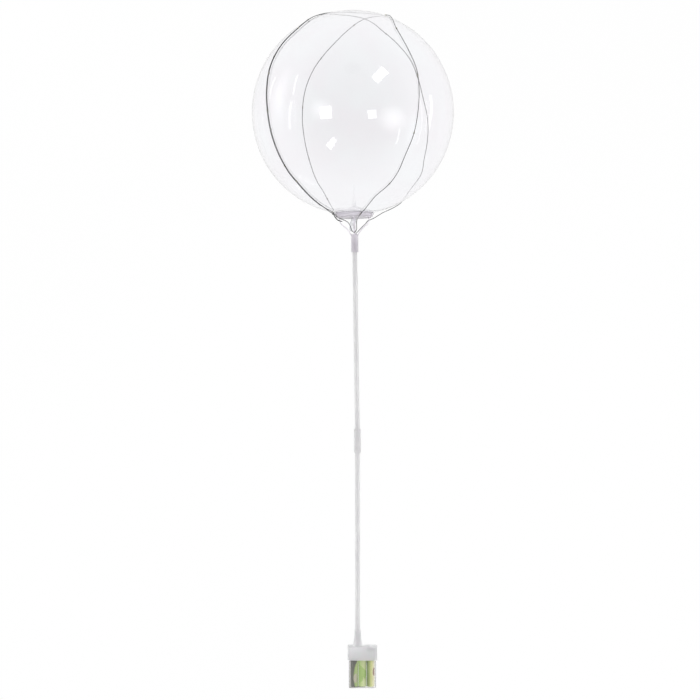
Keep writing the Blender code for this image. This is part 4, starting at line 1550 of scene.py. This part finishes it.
@dataclass(frozen=True)
class LightPanel:
    """A studio light as a glowing panel, which shows in reflections alone.

    Its middle is in the balloon's frame, from the balloon's middle, and it faces the balloon.
    """

    name: str
    middle: Point
    width: float
    height: float
    glow: float
    edge: PanelEdge = PanelEdge.HARD
    turn: float = 0.0
    colour: Colour = WHITE

    def build(self) -> bpy.types.Object:
        """Builds the panel as part of the stage.

        Returns:
            The panel.
        """
        facing = Vector(self.middle).normalized().to_track_quat("Z", "Y").to_matrix().to_4x4()
        place = LYING @ at(*self.middle) @ facing @ Matrix.Rotation(math.radians(self.turn), 4, "Z")
        bm = flat_face(self.width, self.height)
        layer = bm.loops.layers.uv.new("panel")
        for loop in bm.faces[:][0].loops:
            loop[layer].uv = (loop.vert.co.x / self.width * 2, loop.vert.co.y / self.height * 2)
        obj = Shape(bm, place).obj
        obj.name = self.name
        obj.data.materials.append(self._material())
        obj.visible_camera = False
        obj.visible_diffuse = False
        obj.visible_shadow = False
        return obj

    def _material(self) -> bpy.types.Material:
        """The panel's glow, even or fading towards its edges.

        Returns:
            The material.
        """
        made = bpy.data.materials.new(self.name)
        wiring = emptied(made)
        light = wiring.add("ShaderNodeEmission", {"Color": opaque(self.colour), "Strength": self.glow})
        surface = light.outputs[0]
        if self.edge is PanelEdge.SOFT:
            place = wiring.add("ShaderNodeUVMap", uv_map="panel").outputs["UV"]
            away = wiring.add("ShaderNodeVectorMath", {0: place}, operation="LENGTH").outputs["Value"]
            wiring.feed(light, {"Strength": wiring.ramp(away, 1.0, 0.0, 0.0, self.glow)})
            clear = wiring.add("ShaderNodeBsdfTransparent").outputs[0]
            surface = wiring.add("ShaderNodeAddShader", {0: surface, 1: clear}).outputs[0]
        wiring.add("ShaderNodeOutputMaterial", {"Surface": surface})
        return made


@dataclass
class Studio:
    """The floor, the soft light and the camera."""

    floor_size: float = 30.0
    floor_scale: float = 0.6
    floor_tint: Colour = (0.995, 0.995, 0.995)
    camera_place: Point = (-0.0111, -2.5000, -0.4230)
    camera_roll: float = math.radians(0.80)
    lens: float = 71.825
    sensor: float = 36.0
    clip: tuple[float, float] = (0.05, 50.0)
    room_glow: float = 0.30
    horizon_glow: float = 0.96
    horizon_height: float = 0.9
    room_light: float = 1.42
    room_tint: Colour = (0.99, 0.985, 1.0)
    panels: tuple = (
        LightPanel("softbox", (-0.275, -0.560, -0.080), 0.125, 0.120, 7.0),
        LightPanel("window", (0.355, -0.630, 0.392), 0.120, 0.240, 6.0, turn=-50.0),
        LightPanel("glow", (0.610, -0.680, -0.200), 0.70, 0.56, 2.2, PanelEdge.SOFT),
        LightPanel("left_strip", (-0.680, -0.345, 0.290), 0.030, 0.24, 3.0),
        LightPanel("far_left_strip", (-0.766, 0.110, 0.080), 0.040, 0.60, 2.0),
        LightPanel("right_strip", (0.800, -0.024, 0.000), 0.055, 0.36, 3.0),
        LightPanel("far_right_strip", (0.709, 0.371, 0.000), 0.040, 0.60, 4.0),
        LightPanel(
            "left_wall", (-1.000, -0.120, 0.250), 0.50, 1.10, 1.0, PanelEdge.SOFT,
            colour=(0.92, 0.96, 1.0),
        ),
    )

    def build(self) -> None:
        """Builds the whole stage."""
        self._floor()
        [panel.build() for panel in self.panels]
        self._room()
        self._camera()

    def _floor(self) -> bpy.types.Object:
        """The plain pale floor, which glows evenly.

        Returns:
            The floor.
        """
        floor = Shape(flat_face(self.floor_size, self.floor_size)).obj
        floor.name = "pale_floor"
        made = bpy.data.materials.new("pale_floor")
        wiring = emptied(made)
        clouds = wiring.effect(Effect.CLOUDS, self.floor_scale)["Mask"]
        tint = wiring.blend(clouds, opaque(self.floor_tint), opaque(WHITE))
        light = wiring.add("ShaderNodeEmission", {"Color": tint, "Strength": 1.0}).outputs[0]
        wiring.add("ShaderNodeOutputMaterial", {"Surface": light})
        floor.data.materials.append(made)
        return floor

    def _room(self) -> None:
        """The room round the stage: dim in reflections, bright on matt surfaces."""
        world = bpy.data.worlds.new("studio_room")
        bpy.context.scene.world = world
        wiring = emptied(world)
        path = wiring.add("ShaderNodeLightPath").outputs
        way = wiring.add("ShaderNodeTexCoord").outputs["Generated"]
        height = wiring.add("ShaderNodeSeparateXYZ", {"Vector": way}).outputs["Z"]
        mirrored = wiring.ramp(height, 0.0, self.horizon_height, self.horizon_glow, self.room_glow)
        glow = wiring.ramp(path["Diffuse Depth"], 0.0, 1.0, mirrored, self.room_light)
        room = wiring.add("ShaderNodeBackground", {"Color": opaque(self.room_tint), "Strength": glow})
        wiring.add("ShaderNodeOutputWorld", {"Surface": room.outputs[0]})

    def _camera(self) -> None:
        """The camera above the lying balloon, at the photograph's angle."""
        scene = bpy.context.scene
        data = bpy.data.cameras.new("photo_camera")
        data.lens = self.lens
        data.sensor_width = self.sensor
        data.clip_start, data.clip_end = self.clip
        camera = bpy.data.objects.new("photo_camera", data)
        scene.collection.objects.link(camera)
        lean, rise = math.cos(self.camera_roll), math.sin(self.camera_roll)
        axes = Matrix(((lean, rise, 0.0), (0.0, 0.0, -1.0), (-rise, lean, 0.0))).to_4x4()
        camera.matrix_world = LYING @ at(*self.camera_place) @ axes
        scene.camera = camera
        scene.view_settings.view_transform = "Standard"


def main() -> None:
    """Builds every sub-assembly and the studio."""
    logging.basicConfig(level=logging.INFO, format="%(message)s")
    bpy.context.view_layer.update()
    assemblies = (Balloon, Cup, Stick, Cap, BatteryBox, Cells, Contacts, PushSwitch, LightString)
    for assembly in assemblies:
        for piece in assembly().build():
            LOG.info("%s: %d faces", piece.name, len(piece.data.polygons))
    Studio().build()


if __name__ == "__main__":
    main()
